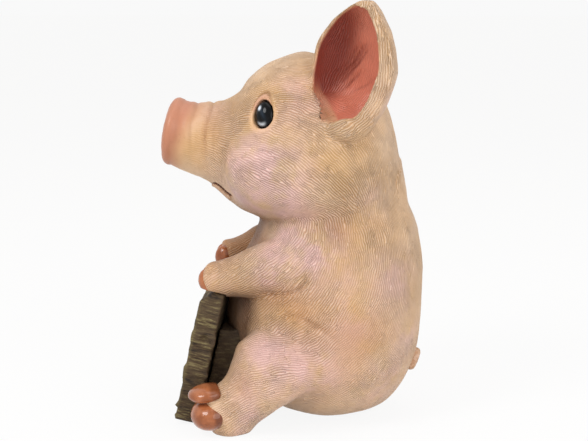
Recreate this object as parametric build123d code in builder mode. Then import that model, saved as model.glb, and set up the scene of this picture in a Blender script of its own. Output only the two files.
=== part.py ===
"""Seated piglet figurine that props a plain wooden-looking board between its feet.

The piglet is an assembly of castings that are pinned and glued together: a hollow
torso and a hollow head, solid limbs, ears and tail, inset eyes, nose and hooves, and
a separate board.  The piglet looks along -Y, its left side is +X, +Z is up, and the
origin lies on the table under the middle of the figurine.  Millimetres.
"""
from build123d import *
from math import cos, radians, sin, sqrt
import os

os.makedirs("parts", exist_ok=True)

# how the castings are made and joined
torso_wall = 6.0
head_wall = 16.0  # thicker, because the ears are rooted in it
glue_gap = 0.15  # glue line between two castings
pin_gap = 0.05  # play of a dowel pin in its hole
pin_end_air = 0.5  # room left beyond the end of a pin
overrun = 2.0  # how far a cutter passes the face that it cuts

# torso: pear-shaped casting, sections stacked from the table upwards
torso_height = 168.0  # table to the neck rim inside the head
torso_half_width = 59.0
torso_half_depth = 60.0
torso_y = 22.3  # how far the torso's middle lies behind the origin
# height, shift of the widest line, half width, backward reach, forward reach
torso_floor_shares = (0.060, 0.00, 0.690, 0.680, 0.640)  # the hollow starts here
torso_neck_shares = (1.000, 0.00, 0.500, 0.540, 0.430)
torso_shares = [
    (0.000, 0.00, 0.300, 0.270, 0.250),
    (0.018, 0.00, 0.440, 0.430, 0.400),
    torso_floor_shares,
    (0.130, 0.00, 0.860, 0.825, 0.820),
    (0.244, 0.00, 0.966, 0.952, 1.000),
    (0.387, 0.00, 1.000, 0.997, 1.075),
    (0.548, 0.00, 0.950, 1.008, 0.965),
    (0.696, 0.00, 0.850, 0.958, 0.790),
    (0.821, 0.00, 0.746, 0.828, 0.650),
    (0.923, 0.00, 0.640, 0.705, 0.550),
    torso_neck_shares,
]

# head: sections set along an axis that runs back from the snout and dips
head_length = 140.5  # snout face to the back of the skull
head_half_width = 58.5
head_half_height = 60.0
head_tilt = 10.0  # degrees that the snout points above the horizon
snout_reach = 95.0  # snout face in front of the torso's middle
snout_rise = 11.4  # middle of the snout face above the neck rim
# distance back, shift of the widest line, half width, upward reach, downward reach
eye_section_shares = (0.371, -0.100, 0.800, 1.015, 0.617)  # passes through the eyes
ear_section_shares = (0.664, -0.160, 1.000, 1.185, 0.560)  # carries the ears
head_shares = [
    (0.000, 0.000, 0.375, 0.345, 0.360),
    (0.035, 0.000, 0.355, 0.330, 0.385),
    (0.090, 0.000, 0.365, 0.347, 0.413),
    (0.171, -0.010, 0.420, 0.413, 0.450),
    (0.243, -0.030, 0.520, 0.563, 0.520),
    (0.283, -0.050, 0.620, 0.760, 0.560),
    eye_section_shares,
    (0.521, -0.150, 0.970, 1.210, 0.600),
    ear_section_shares,
    (0.804, -0.100, 0.930, 0.967, 0.500),
    (0.895, -0.040, 0.750, 0.720, 0.430),
    (0.962, 0.000, 0.500, 0.370, 0.300),
    (1.000, 0.000, 0.240, 0.130, 0.130),
]
head_hollow_shares = head_shares[4:11]  # the snout and the nape stay solid

# cheeks: one ball on each side that rounds out the lower front of the head
cheek_radius = 23.0
cheek_back = 61.0  # middle of the ball behind the snout face
cheek_spread = 33.5  # to the side of the head's axis
cheek_drop = 8.5  # and below it

# mouth: cut line under the snout that runs up into the cheeks
mouth_gap = 1.4
mouth_depth = 2.2
mouth_back = 33.0  # middle of the line behind the snout face
mouth_drop = 27.0  # and below the head's axis
mouth_slope = 17.0  # degrees that the line dips against the head's axis
mouth_length = 22.0
mouth_width = 80.0

# nose pad: domed disc glued over the open end of the snout
nose_thickness = 7.6
nose_half_width = 23.2
nose_half_height = 21.4
nose_spigot_radius = 12.0
nose_spigot_length = 7.0
nostril_spread = 8.4  # nose middle to nostril middle
nostril_half_width = 3.8
nostril_half_height = 6.0
nostril_depth = 5.0
nostril_lean = 14.0  # degrees
# distance out, shift of the widest line, half width, upward reach, downward reach
nose_shares = [
    (0.00, 0.00, 0.95, 0.95, 0.97),
    (0.30, 0.00, 1.00, 1.00, 1.02),
    (0.60, 0.00, 0.97, 0.96, 0.99),
    (0.85, 0.00, 0.84, 0.82, 0.87),
    (1.00, 0.00, 0.62, 0.60, 0.64),
]

# eyes: domes with a stem, set into blind sockets
eye_half_width = 7.4
eye_half_height = 9.0
eye_thickness = 5.6
eye_sink = 1.9  # how deep the rim of the dome lies in the skin
eye_back = 3.0  # eye behind its head section
eye_rise = 24.5  # eye above the head's axis
eye_turn = 33.0  # degrees that the eye looks forward from the side
eye_lift = 15.0  # degrees that the eye looks up
eye_stem_radius = 3.0
eye_stem_length = 2.0
# distance out, shift of the widest line, half width, upward reach, downward reach
eye_shares = [
    (0.00, 0.00, 1.00, 1.00, 1.00),
    (0.34, 0.00, 0.96, 0.96, 0.96),
    (0.66, 0.00, 0.78, 0.78, 0.78),
    (0.89, 0.00, 0.49, 0.49, 0.49),
    (1.00, 0.00, 0.16, 0.16, 0.16),
]

# ears: deep scoops that open outward and forward
ear_length = 84.0
ear_half_width = 28.3
ear_depth = 24.0
ear_rise = 18.0  # foot of the ear above the head's axis
ear_inset = 12.0  # foot of the ear inside the skin of the head
ear_back = 4.4  # foot of the ear behind its head section
ear_turn = 33.0  # degrees that the scoop turns from the side to the front
ear_splay = 8.0  # degrees that the ear leans outward
ear_rake = 15.5  # degrees that the ear leans backward
# distance up, shift of the widest line, half width, lip, depth of the back
ear_shares = [
    (0.00, 0.00, 0.34, 0.16, 0.26),
    (0.05, 0.00, 0.56, 0.19, 0.46),
    (0.16, 0.00, 0.77, 0.22, 0.76),
    (0.36, 0.00, 0.94, 0.22, 1.00),
    (0.57, 0.02, 1.00, 0.20, 0.92),
    (0.77, 0.07, 0.77, 0.18, 0.66),
    (0.91, 0.12, 0.45, 0.15, 0.40),
    (0.98, 0.14, 0.21, 0.10, 0.20),
    (1.00, 0.14, 0.10, 0.05, 0.10),
]
# the same for the hollow; its lip passes the rim so that the scoop is open
ear_hollow_shares = [
    (0.15, 0.00, 0.26, 0.60, 0.24),
    (0.24, 0.00, 0.60, 0.60, 0.58),
    (0.40, 0.00, 0.82, 0.60, 0.87),
    (0.57, 0.02, 0.87, 0.60, 0.78),
    (0.77, 0.07, 0.64, 0.60, 0.52),
    (0.89, 0.12, 0.36, 0.60, 0.28),
    (0.94, 0.13, 0.18, 0.60, 0.14),
]

# board: thick plank that leans back against the belly and the hooves
board_width = 86.0
board_length = 86.2
board_thickness = 15.5
board_lean = 12.5  # degrees from upright
board_reach = 79.0  # lower rear edge in front of the torso's middle
board_bevel = 8.0  # sloping edge along the top of the front

# web: wedge of casting that fills the undercut between the board and the belly
web_half_width = 33.0
web_rise_share = 0.71  # height along the board's back, of its length
web_depth = 30.0  # from the board's back to the rear of the web, at the table
web_top_depth = 24.0  # and at its top

# forelegs: from the shoulder to the hoof on the board's top edge
foreleg_length = 71.0  # shoulder to the root of the hoof
foreleg_half_width = 16.5
foreleg_half_height = 19.5
foreleg_dip = 11.2  # degrees that the leg slopes down to the front
foreleg_toe_in = 3.0  # degrees that the leg points inward
foreleg_root_x = 34.8  # root of the hoof to the side of the middle
foreleg_root_rise = 9.07  # and above the board's rear top edge
foreleg_root_forward = 10.2  # and in front of that edge
# distance along, shift of the widest line, half width, upward reach, downward reach
foreleg_shares = [
    (0.00, 0.00, 0.80, 0.84, 0.60),
    (0.20, 0.00, 0.98, 0.97, 0.82),
    (0.42, 0.00, 1.00, 0.90, 0.90),
    (0.62, 0.00, 0.88, 0.76, 0.76),
    (0.80, 0.00, 0.72, 0.57, 0.62),
    (0.93, 0.00, 0.62, 0.45, 0.54),
    (1.00, 0.00, 0.58, 0.41, 0.50),
]
foreleg_pin_radius = 2.5
foreleg_pin_length = 26.0
foreleg_pin_share = 0.51  # place of the pin's middle along the leg

# hind legs: from the hip to the foot that lies against the board's side
hind_length = 66.0  # hip to the root of the hoof
hind_half_width = 26.5
hind_half_height = 28.0
hind_dip = 30.0  # degrees that the leg slopes down to the front
hip_x = 38.0
hip_forward = 9.5  # hip in front of the torso's middle
hip_height = 44.6
hind_toe_out = 17.5  # degrees that the leg points outward
hind_hoof_rise = 23.0  # degrees that the hoof bends up from the leg
hind_hoof_shift_share = 0.23  # rise of the hoof's root, of the leg's half height
# distance along, shift of the widest line, half width, upward reach, downward reach
hind_shares = [
    (0.00, 0.00, 0.84, 0.88, 0.66),
    (0.12, 0.00, 0.92, 1.06, 0.62),
    (0.29, 0.00, 0.92, 1.15, 0.57),
    (0.47, 0.00, 0.84, 1.12, 0.56),
    (0.61, 0.00, 0.71, 0.88, 0.60),
    (0.73, 0.00, 0.59, 0.66, 0.64),
    (0.86, 0.05, 0.53, 0.53, 0.76),
    (1.00, 0.14, 0.46, 0.45, 0.74),
]
foot_ball_radius = 11.0  # ball of the foot, under the hoof
foot_ball_back = 2.6  # middle of the ball behind the root of the hoof
foot_ball_drop = 4.4  # and below the leg's axis
hind_pin_radius = 3.0
hind_pin_length = 26.0
hind_pin_share = 0.39  # place of the pin's middle along the leg

# hooves: two blunt toes with a cleft between them
fore_toe_length = 6.5
fore_toe_half_width = 5.1
fore_toe_half_height = 8.2
fore_toe_spread = 4.8  # middle of the hoof to the middle of a toe
hind_toe_length = 13.5
hind_toe_half_width = 12.0
hind_toe_half_height = 8.0
hind_toe_spread = 6.9
toe_root_length = 5.0  # how far the toes run back inside the leg's outline
# distance along, shift of the widest line, half width, upward reach, downward reach
toe_shares = [
    (0.00, 0.00, 1.00, 1.00, 1.00),
    (0.30, 0.00, 1.00, 1.00, 1.00),
    (0.62, 0.00, 0.88, 0.88, 0.88),
    (0.87, 0.00, 0.62, 0.62, 0.62),
    (1.00, 0.00, 0.30, 0.30, 0.30),
]

# tail: one curl that lies flat against the rump
tail_radius = 2.7
tail_curl_radius = 5.0
tail_curl_sweep = 300.0  # degrees
tail_height_share = 0.2024  # middle of the curl, of the torso's height
tail_reach_share = 0.927  # and behind the torso's middle, of its half depth
tail_tilt = 21.0  # degrees that the rump faces down there
tail_sink = 0.7  # flat underside of the curl, inward from the curl's middle
tail_root_length = 9.0
tail_root_share = 0.9  # root radius against the curl's radius

# base plug: stepped disc that closes the casting hole in the torso
plug_radius = 8.0
plug_flange_radius = 11.0
plug_flange_thickness = 3.0
plug_length = 8.0
plug_recess = 0.4  # plug face above the table

# pins that tie the forelegs to the board
board_pin_radius = 1.5
board_pin_length = 15.0
board_pin_share = 0.6  # part of the pin that stands in the board
board_pin_x = 35.0
board_pin_depth_share = 0.25  # from the board's back, of its thickness


def lofted(base, length, half_width, half_height, shares, grow=0, mode=Mode.ADD):
    """Smooth loft through egg sections on planes that are parallel to the base.

    Each section is two half ellipses that meet on its widest line.
    """
    sections = []
    for along, shift, width, above, below in shares:
        middle = (0, half_height * shift)
        reach = half_width * width + grow
        rise = half_height * above + grow
        drop = half_height * below + grow
        with BuildSketch(base.offset(length * along)) as section:
            with BuildLine():
                EllipticalCenterArc(middle, reach, rise, arc_size=180)
                EllipticalCenterArc(middle, reach, drop, start_angle=180, arc_size=180)
            make_face()
        sections.append(section.sketch)
    loft(sections, mode=mode)


def disc(base, radius, length, mode=Mode.ADD):
    """Round pin, stem or hole that grows out of a plane along its normal."""
    with BuildSketch(base) as outline:
        Circle(radius)
    extrude(outline.sketch, amount=length, mode=mode)


def tilted_plane(place, x_dir, z_dir):
    """Plane at a place, given the directions of its width and of its normal."""
    return Plane(tuple(place), x_dir=tuple(x_dir), z_dir=tuple(z_dir))


# main frames: torso on the table, head on its axis, board on its lower rear edge
left_dir = Vector(1, 0, 0)
torso_frame = Plane((0, torso_y, 0), x_dir=(1, 0, 0), z_dir=(0, 0, 1))

head_back = Vector(0, cos(radians(head_tilt)), -sin(radians(head_tilt)))
head_up = Vector(0, sin(radians(head_tilt)), cos(radians(head_tilt)))
snout_middle = Vector(0, torso_y - snout_reach, torso_height + snout_rise)
head_frame = tilted_plane(snout_middle, left_dir * -1, head_back)

board_up = Vector(0, sin(radians(board_lean)), cos(radians(board_lean)))
board_forward = Vector(0, -cos(radians(board_lean)), sin(radians(board_lean)))
board_foot_edge = Vector(0, torso_y - board_reach, 0)
board_frame = tilted_plane(board_foot_edge, left_dir, board_forward)


def cut_both_sides(cutter):
    """Cut with a left-hand body and with its right-hand twin."""
    add(cutter.part, mode=Mode.SUBTRACT)
    mirror(cutter.part, about=Plane.YZ, mode=Mode.SUBTRACT)


def head_skin(section, back, rise, inset):
    """Point on the left side of the head, near the section with these shares."""
    along, shift, width, above, _ = section
    climb = (rise - head_half_height * shift) / (head_half_height * above)
    reach = head_half_width * width * sqrt(1 - climb**2) - inset
    place = snout_middle + head_back * (head_length * along + back) + head_up * rise
    return place + left_dir * reach


# torso and head as full bodies, and the same a glue line larger for cutting seats
with BuildPart() as torso_body:
    lofted(torso_frame, torso_height, torso_half_width, torso_half_depth, torso_shares)

with BuildPart() as torso_cutter:
    lofted(
        torso_frame,
        torso_height,
        torso_half_width,
        torso_half_depth,
        torso_shares,
        grow=glue_gap,
    )

cheek_middle = snout_middle + head_back * cheek_back - head_up * cheek_drop
cheek_places = [cheek_middle + left_dir * (side * cheek_spread) for side in (-1, 1)]
with BuildPart() as head_body:
    lofted(head_frame, head_length, head_half_width, head_half_height, head_shares)
    with Locations(*cheek_places):
        Sphere(cheek_radius)

with BuildPart() as head_cutter:
    lofted(
        head_frame,
        head_length,
        head_half_width,
        head_half_height,
        head_shares,
        grow=glue_gap,
    )
    with Locations(*cheek_places):
        Sphere(cheek_radius + glue_gap)

# sign board with a bevel along the top of its front
with BuildPart() as board_body:
    with BuildSketch(board_frame):
        Rectangle(board_width, board_length, align=(Align.CENTER, Align.MIN))
    extrude(amount=board_thickness)
    board_front = board_body.faces().sort_by(Axis(board_frame.origin, board_forward))[-1]
    board_top_edge = board_front.edges().sort_by(Axis(board_frame.origin, board_up))[-1]
    chamfer(board_top_edge, length=board_bevel)

# the same a glue line larger, to cut the seats of the hooves and feet
with BuildPart() as board_cutter:
    with BuildSketch(board_frame.offset(-glue_gap)):
        with Locations((0, -glue_gap)):
            Rectangle(
                board_width + 2 * glue_gap,
                board_length + 2 * glue_gap,
                align=(Align.CENTER, Align.MIN),
            )
    extrude(amount=board_thickness + 2 * glue_gap)

# nose pad with its nostrils and the spigot that plugs into the snout
nose_back = snout_middle - head_back * glue_gap
nose_frame = tilted_plane(nose_back, left_dir, head_back * -1)
nose_front_frame = nose_frame.offset(nose_thickness + overrun)
with BuildPart() as nose_pad:
    lofted(nose_frame, nose_thickness, nose_half_width, nose_half_height, nose_shares)
    disc(nose_frame.offset(-nose_spigot_length), nose_spigot_radius, nose_spigot_length + overrun)
    for side in (-1, 1):
        with BuildSketch(nose_front_frame):
            with Locations(Location((side * nostril_spread, 0, 0), (0, 0, -side * nostril_lean))):
                Ellipse(nostril_half_width, nostril_half_height)
        extrude(amount=-(overrun + nostril_depth), mode=Mode.SUBTRACT)

# left eye on the skin of the head, with its stem
eye_place = head_skin(eye_section_shares, eye_back, eye_rise, eye_sink)
eye_out = Vector(1, 0, 0).rotate(Axis.Y, -eye_lift).rotate(Axis.Z, -eye_turn)
eye_up = Vector(0, 0, 1).rotate(Axis.Y, -eye_lift).rotate(Axis.Z, -eye_turn)
eye_frame = tilted_plane(eye_place, eye_up.cross(eye_out), eye_out)
with BuildPart() as left_eye:
    lofted(eye_frame, eye_thickness, eye_half_width, eye_half_height, eye_shares)
    disc(eye_frame.offset(-eye_stem_length), eye_stem_radius, eye_stem_length + overrun)

with BuildPart() as eye_cutter:
    lofted(
        eye_frame.offset(-glue_gap),
        eye_thickness + 2 * glue_gap,
        eye_half_width,
        eye_half_height,
        eye_shares,
        grow=glue_gap,
    )
    disc(
        eye_frame.offset(-eye_stem_length - glue_gap),
        eye_stem_radius + glue_gap,
        eye_stem_length + overrun,
    )

# left ear: scoop whose foot sits on the head
ear_up = Vector(0, 0, 1).rotate(Axis.X, -ear_rake).rotate(Axis.Y, ear_splay)
ear_open_rough = Vector(cos(radians(ear_turn)), -sin(radians(ear_turn)), 0)
ear_wide = ear_open_rough.cross(ear_up).normalized()
ear_open = ear_up.cross(ear_wide)
ear_foot = head_skin(ear_section_shares, ear_back, ear_rise, ear_inset)
ear_frame = tilted_plane(ear_foot, ear_wide, ear_up)
with BuildPart() as left_ear:
    lofted(ear_frame, ear_length, ear_half_width, ear_depth, ear_shares)
    lofted(
        ear_frame,
        ear_length,
        ear_half_width,
        ear_depth,
        ear_hollow_shares,
        mode=Mode.SUBTRACT,
    )

with BuildPart() as ear_cutter:
    lofted(
        ear_frame.offset(-glue_gap),
        ear_length,
        ear_half_width,
        ear_depth,
        ear_shares,
        grow=glue_gap,
    )

# left foreleg, laid over the board's top edge and run back into the torso
foreleg_dir = Vector(
    -sin(radians(foreleg_toe_in)),
    -cos(radians(foreleg_toe_in)) * cos(radians(foreleg_dip)),
    -sin(radians(foreleg_dip)),
).normalized()
foreleg_wide = foreleg_dir.cross(Vector(0, 0, 1)).normalized()
board_rear_top = board_foot_edge + board_up * board_length
foreleg_root = board_rear_top + Vector(foreleg_root_x, -foreleg_root_forward, foreleg_root_rise)
shoulder = foreleg_root - foreleg_dir * foreleg_length
foreleg_frame = tilted_plane(shoulder, foreleg_wide * -1, foreleg_dir)
with BuildPart() as left_foreleg_body:
    lofted(
        foreleg_frame,
        foreleg_length,
        foreleg_half_width,
        foreleg_half_height,
        foreleg_shares,
    )
    add(torso_cutter.part, mode=Mode.SUBTRACT)
    add(head_cutter.part, mode=Mode.SUBTRACT)
    add(board_cutter.part, mode=Mode.SUBTRACT)

with BuildPart() as foreleg_cutter:
    lofted(
        foreleg_frame.offset(glue_gap),
        foreleg_length,
        foreleg_half_width,
        foreleg_half_height,
        foreleg_shares,
        grow=glue_gap,
    )

fore_hoof_frame = foreleg_frame.offset(foreleg_length - toe_root_length).location

# left hind leg, seated against the torso and flat on the table
hind_dir = Vector(
    sin(radians(hind_toe_out)) * cos(radians(hind_dip)),
    -cos(radians(hind_toe_out)) * cos(radians(hind_dip)),
    -sin(radians(hind_dip)),
)
hind_wide = hind_dir.cross(Vector(0, 0, 1)).normalized()
hip = Vector(hip_x, torso_y - hip_forward, hip_height)
hind_frame = tilted_plane(hip, hind_wide * -1, hind_dir)
foot_ball_place = hind_frame.location * Location((0, -foot_ball_drop, hind_length - foot_ball_back))
with BuildPart() as left_hind_leg_body:
    lofted(hind_frame, hind_length, hind_half_width, hind_half_height, hind_shares)
    with Locations(foot_ball_place):
        Sphere(foot_ball_radius)
    add(torso_cutter.part, mode=Mode.SUBTRACT)
    add(board_cutter.part, mode=Mode.SUBTRACT)
    split(bisect_by=Plane.XY, keep=Keep.TOP)

with BuildPart() as hind_leg_cutter:
    lofted(
        hind_frame.offset(glue_gap),
        hind_length,
        hind_half_width,
        hind_half_height,
        hind_shares,
        grow=glue_gap,
    )
    with Locations(foot_ball_place):
        Sphere(foot_ball_radius + glue_gap)

# web behind the board, seated against the board, the belly and both haunches
web_top = board_up * (board_length * web_rise_share)
web_corners = [
    board_foot_edge,
    board_foot_edge + Vector(0, web_depth, 0),
    board_foot_edge + web_top + Vector(0, web_top_depth, 0),
    board_foot_edge + web_top,
]
with BuildPart() as board_web:
    with BuildSketch(Plane.YZ):
        Polygon(*[(corner.Y, corner.Z) for corner in web_corners], align=None)
    extrude(amount=web_half_width, both=True)
    add(torso_cutter.part, mode=Mode.SUBTRACT)
    add(board_cutter.part, mode=Mode.SUBTRACT)
    cut_both_sides(hind_leg_cutter)

hind_hoof_frame = (
    hind_frame.location
    * Location((0, hind_half_height * hind_hoof_shift_share, hind_length))
    * Location((0, 0, 0), (-hind_hoof_rise, 0, 0))
    * Location((0, 0, -toe_root_length))
)

# hooves: each is two toes that grow together at the root
with BuildPart() as left_fore_hoof:
    for side in (-1, 1):
        toe_root = fore_hoof_frame * Location((side * fore_toe_spread, 0, 0))
        lofted(
            Plane(toe_root),
            fore_toe_length + toe_root_length,
            fore_toe_half_width,
            fore_toe_half_height,
            toe_shares,
        )
    add(foreleg_cutter.part, mode=Mode.SUBTRACT)
    add(board_cutter.part, mode=Mode.SUBTRACT)

with BuildPart() as left_hind_hoof:
    for side in (-1, 1):
        toe_root = hind_hoof_frame * Location((0, side * hind_toe_spread, 0))
        lofted(
            Plane(toe_root),
            hind_toe_length + toe_root_length,
            hind_toe_half_width,
            hind_toe_half_height,
            toe_shares,
        )
    add(hind_leg_cutter.part, mode=Mode.SUBTRACT)
    add(board_cutter.part, mode=Mode.SUBTRACT)
    split(bisect_by=Plane.XY, keep=Keep.TOP)

# tail: a curl flat against the rump, with a root that enters the torso
tail_down = Vector(0, 0, -1).rotate(Axis.X, -tail_tilt)
tail_out = Vector(0, 1, 0).rotate(Axis.X, -tail_tilt)
tail_middle = Vector(
    0, torso_y + torso_half_depth * tail_reach_share, torso_height * tail_height_share
)
tail_frame = tilted_plane(tail_middle, left_dir * -1, tail_out)
tail_flat_frame = tilted_plane(tail_middle - tail_out * tail_sink, left_dir, tail_out)
tail_root_frame = tilted_plane(
    tail_middle - tail_down * tail_curl_radius - tail_out * tail_root_length,
    left_dir,
    tail_out,
)
tail_axis = Axis(tail_middle, tail_out)
tail_section = tilted_plane(tail_middle, tail_down * -1, left_dir)
with BuildPart() as tail:
    with BuildSketch(tail_section) as tail_outline:
        with Locations((tail_curl_radius, 0)):
            Circle(tail_radius)
    revolve(tail_outline.sketch, tail_axis, tail_curl_sweep)
    with Locations(tail_middle + (tail_down * -tail_curl_radius).rotate(
        Axis((0, 0, 0), tail_out), tail_curl_sweep
    )):
        Sphere(tail_radius)
    split(bisect_by=tail_flat_frame, keep=Keep.TOP)
    disc(tail_root_frame, tail_radius * tail_root_share, tail_root_length)

with BuildPart() as tail_root_hole:
    disc(
        tail_root_frame.offset(-glue_gap),
        tail_radius * tail_root_share + glue_gap,
        tail_root_length + glue_gap,
    )

# base plug in its stepped hole, a little above the table
plug_frame = torso_frame.offset(plug_recess)
with BuildPart() as base_plug:
    disc(plug_frame, plug_flange_radius, plug_flange_thickness)
    disc(plug_frame, plug_radius, plug_length)

# pins: forelegs and hind legs into the torso, forelegs into the board's top edge
foreleg_pin_frame = foreleg_frame.offset(
    foreleg_length * foreleg_pin_share - foreleg_pin_length / 2
)
hind_pin_frame = hind_frame.offset(hind_length * hind_pin_share - hind_pin_length / 2)
board_pin_place = (
    board_foot_edge
    + left_dir * board_pin_x
    + board_forward * (board_thickness * board_pin_depth_share)
    + board_up * (board_length - board_pin_length * board_pin_share)
)
board_pin_frame = tilted_plane(board_pin_place, left_dir, board_up)

with BuildPart() as left_foreleg_pin:
    disc(foreleg_pin_frame, foreleg_pin_radius, foreleg_pin_length)

with BuildPart() as left_hind_pin:
    disc(hind_pin_frame, hind_pin_radius, hind_pin_length)

with BuildPart() as left_board_pin:
    disc(board_pin_frame, board_pin_radius, board_pin_length)


def pin_hole(frame, radius, length):
    """Body of the hole for a pin, with play around it and room beyond its ends."""
    start = frame.offset(-pin_end_air)
    disc(start, radius + pin_gap, length + 2 * pin_end_air)


with BuildPart() as foreleg_pin_hole:
    pin_hole(foreleg_pin_frame, foreleg_pin_radius, foreleg_pin_length)

with BuildPart() as hind_pin_hole:
    pin_hole(hind_pin_frame, hind_pin_radius, hind_pin_length)

with BuildPart() as board_pin_hole:
    pin_hole(board_pin_frame, board_pin_radius, board_pin_length)

# mouth line: the part of a slanting slab that lies just under the skin
mouth_middle = snout_middle + head_back * mouth_back - head_up * mouth_drop
mouth_frame = tilted_plane(mouth_middle, left_dir * -1, head_back)
mouth_slab_frame = Plane(mouth_frame.location * Location((0, 0, 0), (mouth_slope, 0, 0)))
with BuildPart() as mouth_cutter:
    lofted(
        head_frame,
        head_length,
        head_half_width,
        head_half_height,
        head_shares,
        grow=overrun,
    )
    lofted(
        head_frame,
        head_length,
        head_half_width,
        head_half_height,
        head_shares,
        grow=-mouth_depth,
        mode=Mode.SUBTRACT,
    )
    with BuildSketch(mouth_slab_frame.offset(-mouth_length / 2)) as mouth_slab:
        Rectangle(mouth_width, mouth_gap)
    extrude(mouth_slab.sketch, amount=mouth_length, mode=Mode.INTERSECT)

# torso: hollow from its thick floor to the open neck, with the seats of its neighbours
with BuildPart() as torso_shell:
    add(torso_body.part)
    hollow_shares = torso_shares[torso_shares.index(torso_floor_shares):]
    past_neck_share = torso_neck_shares[0] + overrun / torso_height
    lofted(
        torso_frame,
        torso_height,
        torso_half_width,
        torso_half_depth,
        hollow_shares + [(past_neck_share, *torso_neck_shares[1:])],
        grow=-torso_wall,
        mode=Mode.SUBTRACT,
    )
    disc(
        torso_frame,
        plug_flange_radius + glue_gap,
        plug_recess + plug_flange_thickness,
        mode=Mode.SUBTRACT,
    )
    disc(
        torso_frame,
        plug_radius + glue_gap,
        torso_height * torso_floor_shares[0] + overrun,
        mode=Mode.SUBTRACT,
    )
    add(tail_root_hole.part, mode=Mode.SUBTRACT)
    add(board_cutter.part, mode=Mode.SUBTRACT)
    cut_both_sides(foreleg_pin_hole)
    cut_both_sides(hind_pin_hole)

# head: hollow core, open towards the neck, with the seats of its neighbours
with BuildPart() as head_shell:
    add(head_body.part)
    lofted(
        head_frame,
        head_length,
        head_half_width,
        head_half_height,
        head_hollow_shares,
        grow=-head_wall,
        mode=Mode.SUBTRACT,
    )
    add(torso_cutter.part, mode=Mode.SUBTRACT)
    add(mouth_cutter.part, mode=Mode.SUBTRACT)
    disc(
        head_frame,
        nose_spigot_radius + glue_gap,
        nose_spigot_length + glue_gap,
        mode=Mode.SUBTRACT,
    )
    cut_both_sides(eye_cutter)
    cut_both_sides(ear_cutter)
    cut_both_sides(foreleg_pin_hole)

# pin holes of the limbs and of the board
with BuildPart() as left_foreleg:
    add(left_foreleg_body.part)
    add(foreleg_pin_hole.part, mode=Mode.SUBTRACT)
    add(board_pin_hole.part, mode=Mode.SUBTRACT)

with BuildPart() as left_hind_leg:
    add(left_hind_leg_body.part)
    add(hind_pin_hole.part, mode=Mode.SUBTRACT)

with BuildPart() as sign_board:
    add(board_body.part)
    cut_both_sides(board_pin_hole)

# one file for each piece; paired pieces are drawn once and mirrored
single_pieces = {
    "torso_shell": torso_shell,
    "head_shell": head_shell,
    "nose_pad": nose_pad,
    "sign_board": sign_board,
    "board_web": board_web,
    "tail": tail,
    "base_plug": base_plug,
}
paired_pieces = {
    "ear": left_ear,
    "eye": left_eye,
    "foreleg": left_foreleg,
    "fore_hoof": left_fore_hoof,
    "hind_leg": left_hind_leg,
    "hind_hoof": left_hind_hoof,
    "foreleg_pin": left_foreleg_pin,
    "hind_leg_pin": left_hind_pin,
    "board_pin": left_board_pin,
}

for name, piece in single_pieces.items():
    piece.part.label = name
    export_step(piece.part, f"parts/{name}.step")

for name, left_piece in paired_pieces.items():
    with BuildPart() as right_piece:
        mirror(left_piece.part, about=Plane.YZ)
    left_piece.part.label = f"left_{name}"
    right_piece.part.label = f"right_{name}"
    export_step(left_piece.part, f"parts/left_{name}.step")
    export_step(right_piece.part, f"parts/right_{name}.step")
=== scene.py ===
import math

import bpy
import numpy as np
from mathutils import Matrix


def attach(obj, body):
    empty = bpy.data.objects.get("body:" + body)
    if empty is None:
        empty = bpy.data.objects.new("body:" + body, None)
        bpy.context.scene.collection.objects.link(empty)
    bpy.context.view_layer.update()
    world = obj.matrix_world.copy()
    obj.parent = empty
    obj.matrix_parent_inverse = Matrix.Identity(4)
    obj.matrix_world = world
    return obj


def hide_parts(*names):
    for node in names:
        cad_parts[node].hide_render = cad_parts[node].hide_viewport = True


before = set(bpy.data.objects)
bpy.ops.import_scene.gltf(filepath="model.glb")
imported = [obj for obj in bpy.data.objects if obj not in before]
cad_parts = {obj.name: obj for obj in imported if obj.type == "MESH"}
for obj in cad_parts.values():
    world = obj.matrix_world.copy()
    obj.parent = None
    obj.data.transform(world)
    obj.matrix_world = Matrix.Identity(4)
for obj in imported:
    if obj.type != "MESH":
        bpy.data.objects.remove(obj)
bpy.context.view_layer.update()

import openvdb
from mathutils import Matrix, Vector

print("frame loaded")

# The piglet is sculpted in millimetres as one block of clay and then parted along
# the seams of the castings. It looks along -Y, its left side is +X, Z is up. Only
# the left half is worked out, the right half is its mirror image.

clay = {
    "voxel": 1.0,  # grain of the sculpt, smaller is finer and slower
    "smoothRounds": 3,
    "low": (0.0, -88.0, -4.0),
    "high": (76.0, 90.0, 266.0),
}

torso = {
    "height": 168.0, "halfWidth": 59.0, "halfDepth": 60.0, "middleY": 22.3,
    # height, shift, half width, backward, forward
    "shares": [
        (0, 0, 0.3, 0.27, 0.25), (0.018, 0, 0.44, 0.43, 0.4), (0.06, 0, 0.69, 0.68, 0.64),
        (0.13, 0, 0.86, 0.825, 0.82), (0.244, 0, 0.966, 0.952, 1), (0.387, 0, 1, 0.997, 1.075),
        (0.548, 0, 0.95, 1.008, 0.965), (0.696, 0, 0.85, 0.958, 0.79), (0.821, 0, 0.746, 0.828, 0.65),
        (0.923, 0, 0.64, 0.705, 0.55), (1, 0, 0.5, 0.54, 0.43),
    ],
    "plugHole": (11.3, 3.4), "plugBore": (8.2, 12.0),
}

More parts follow.
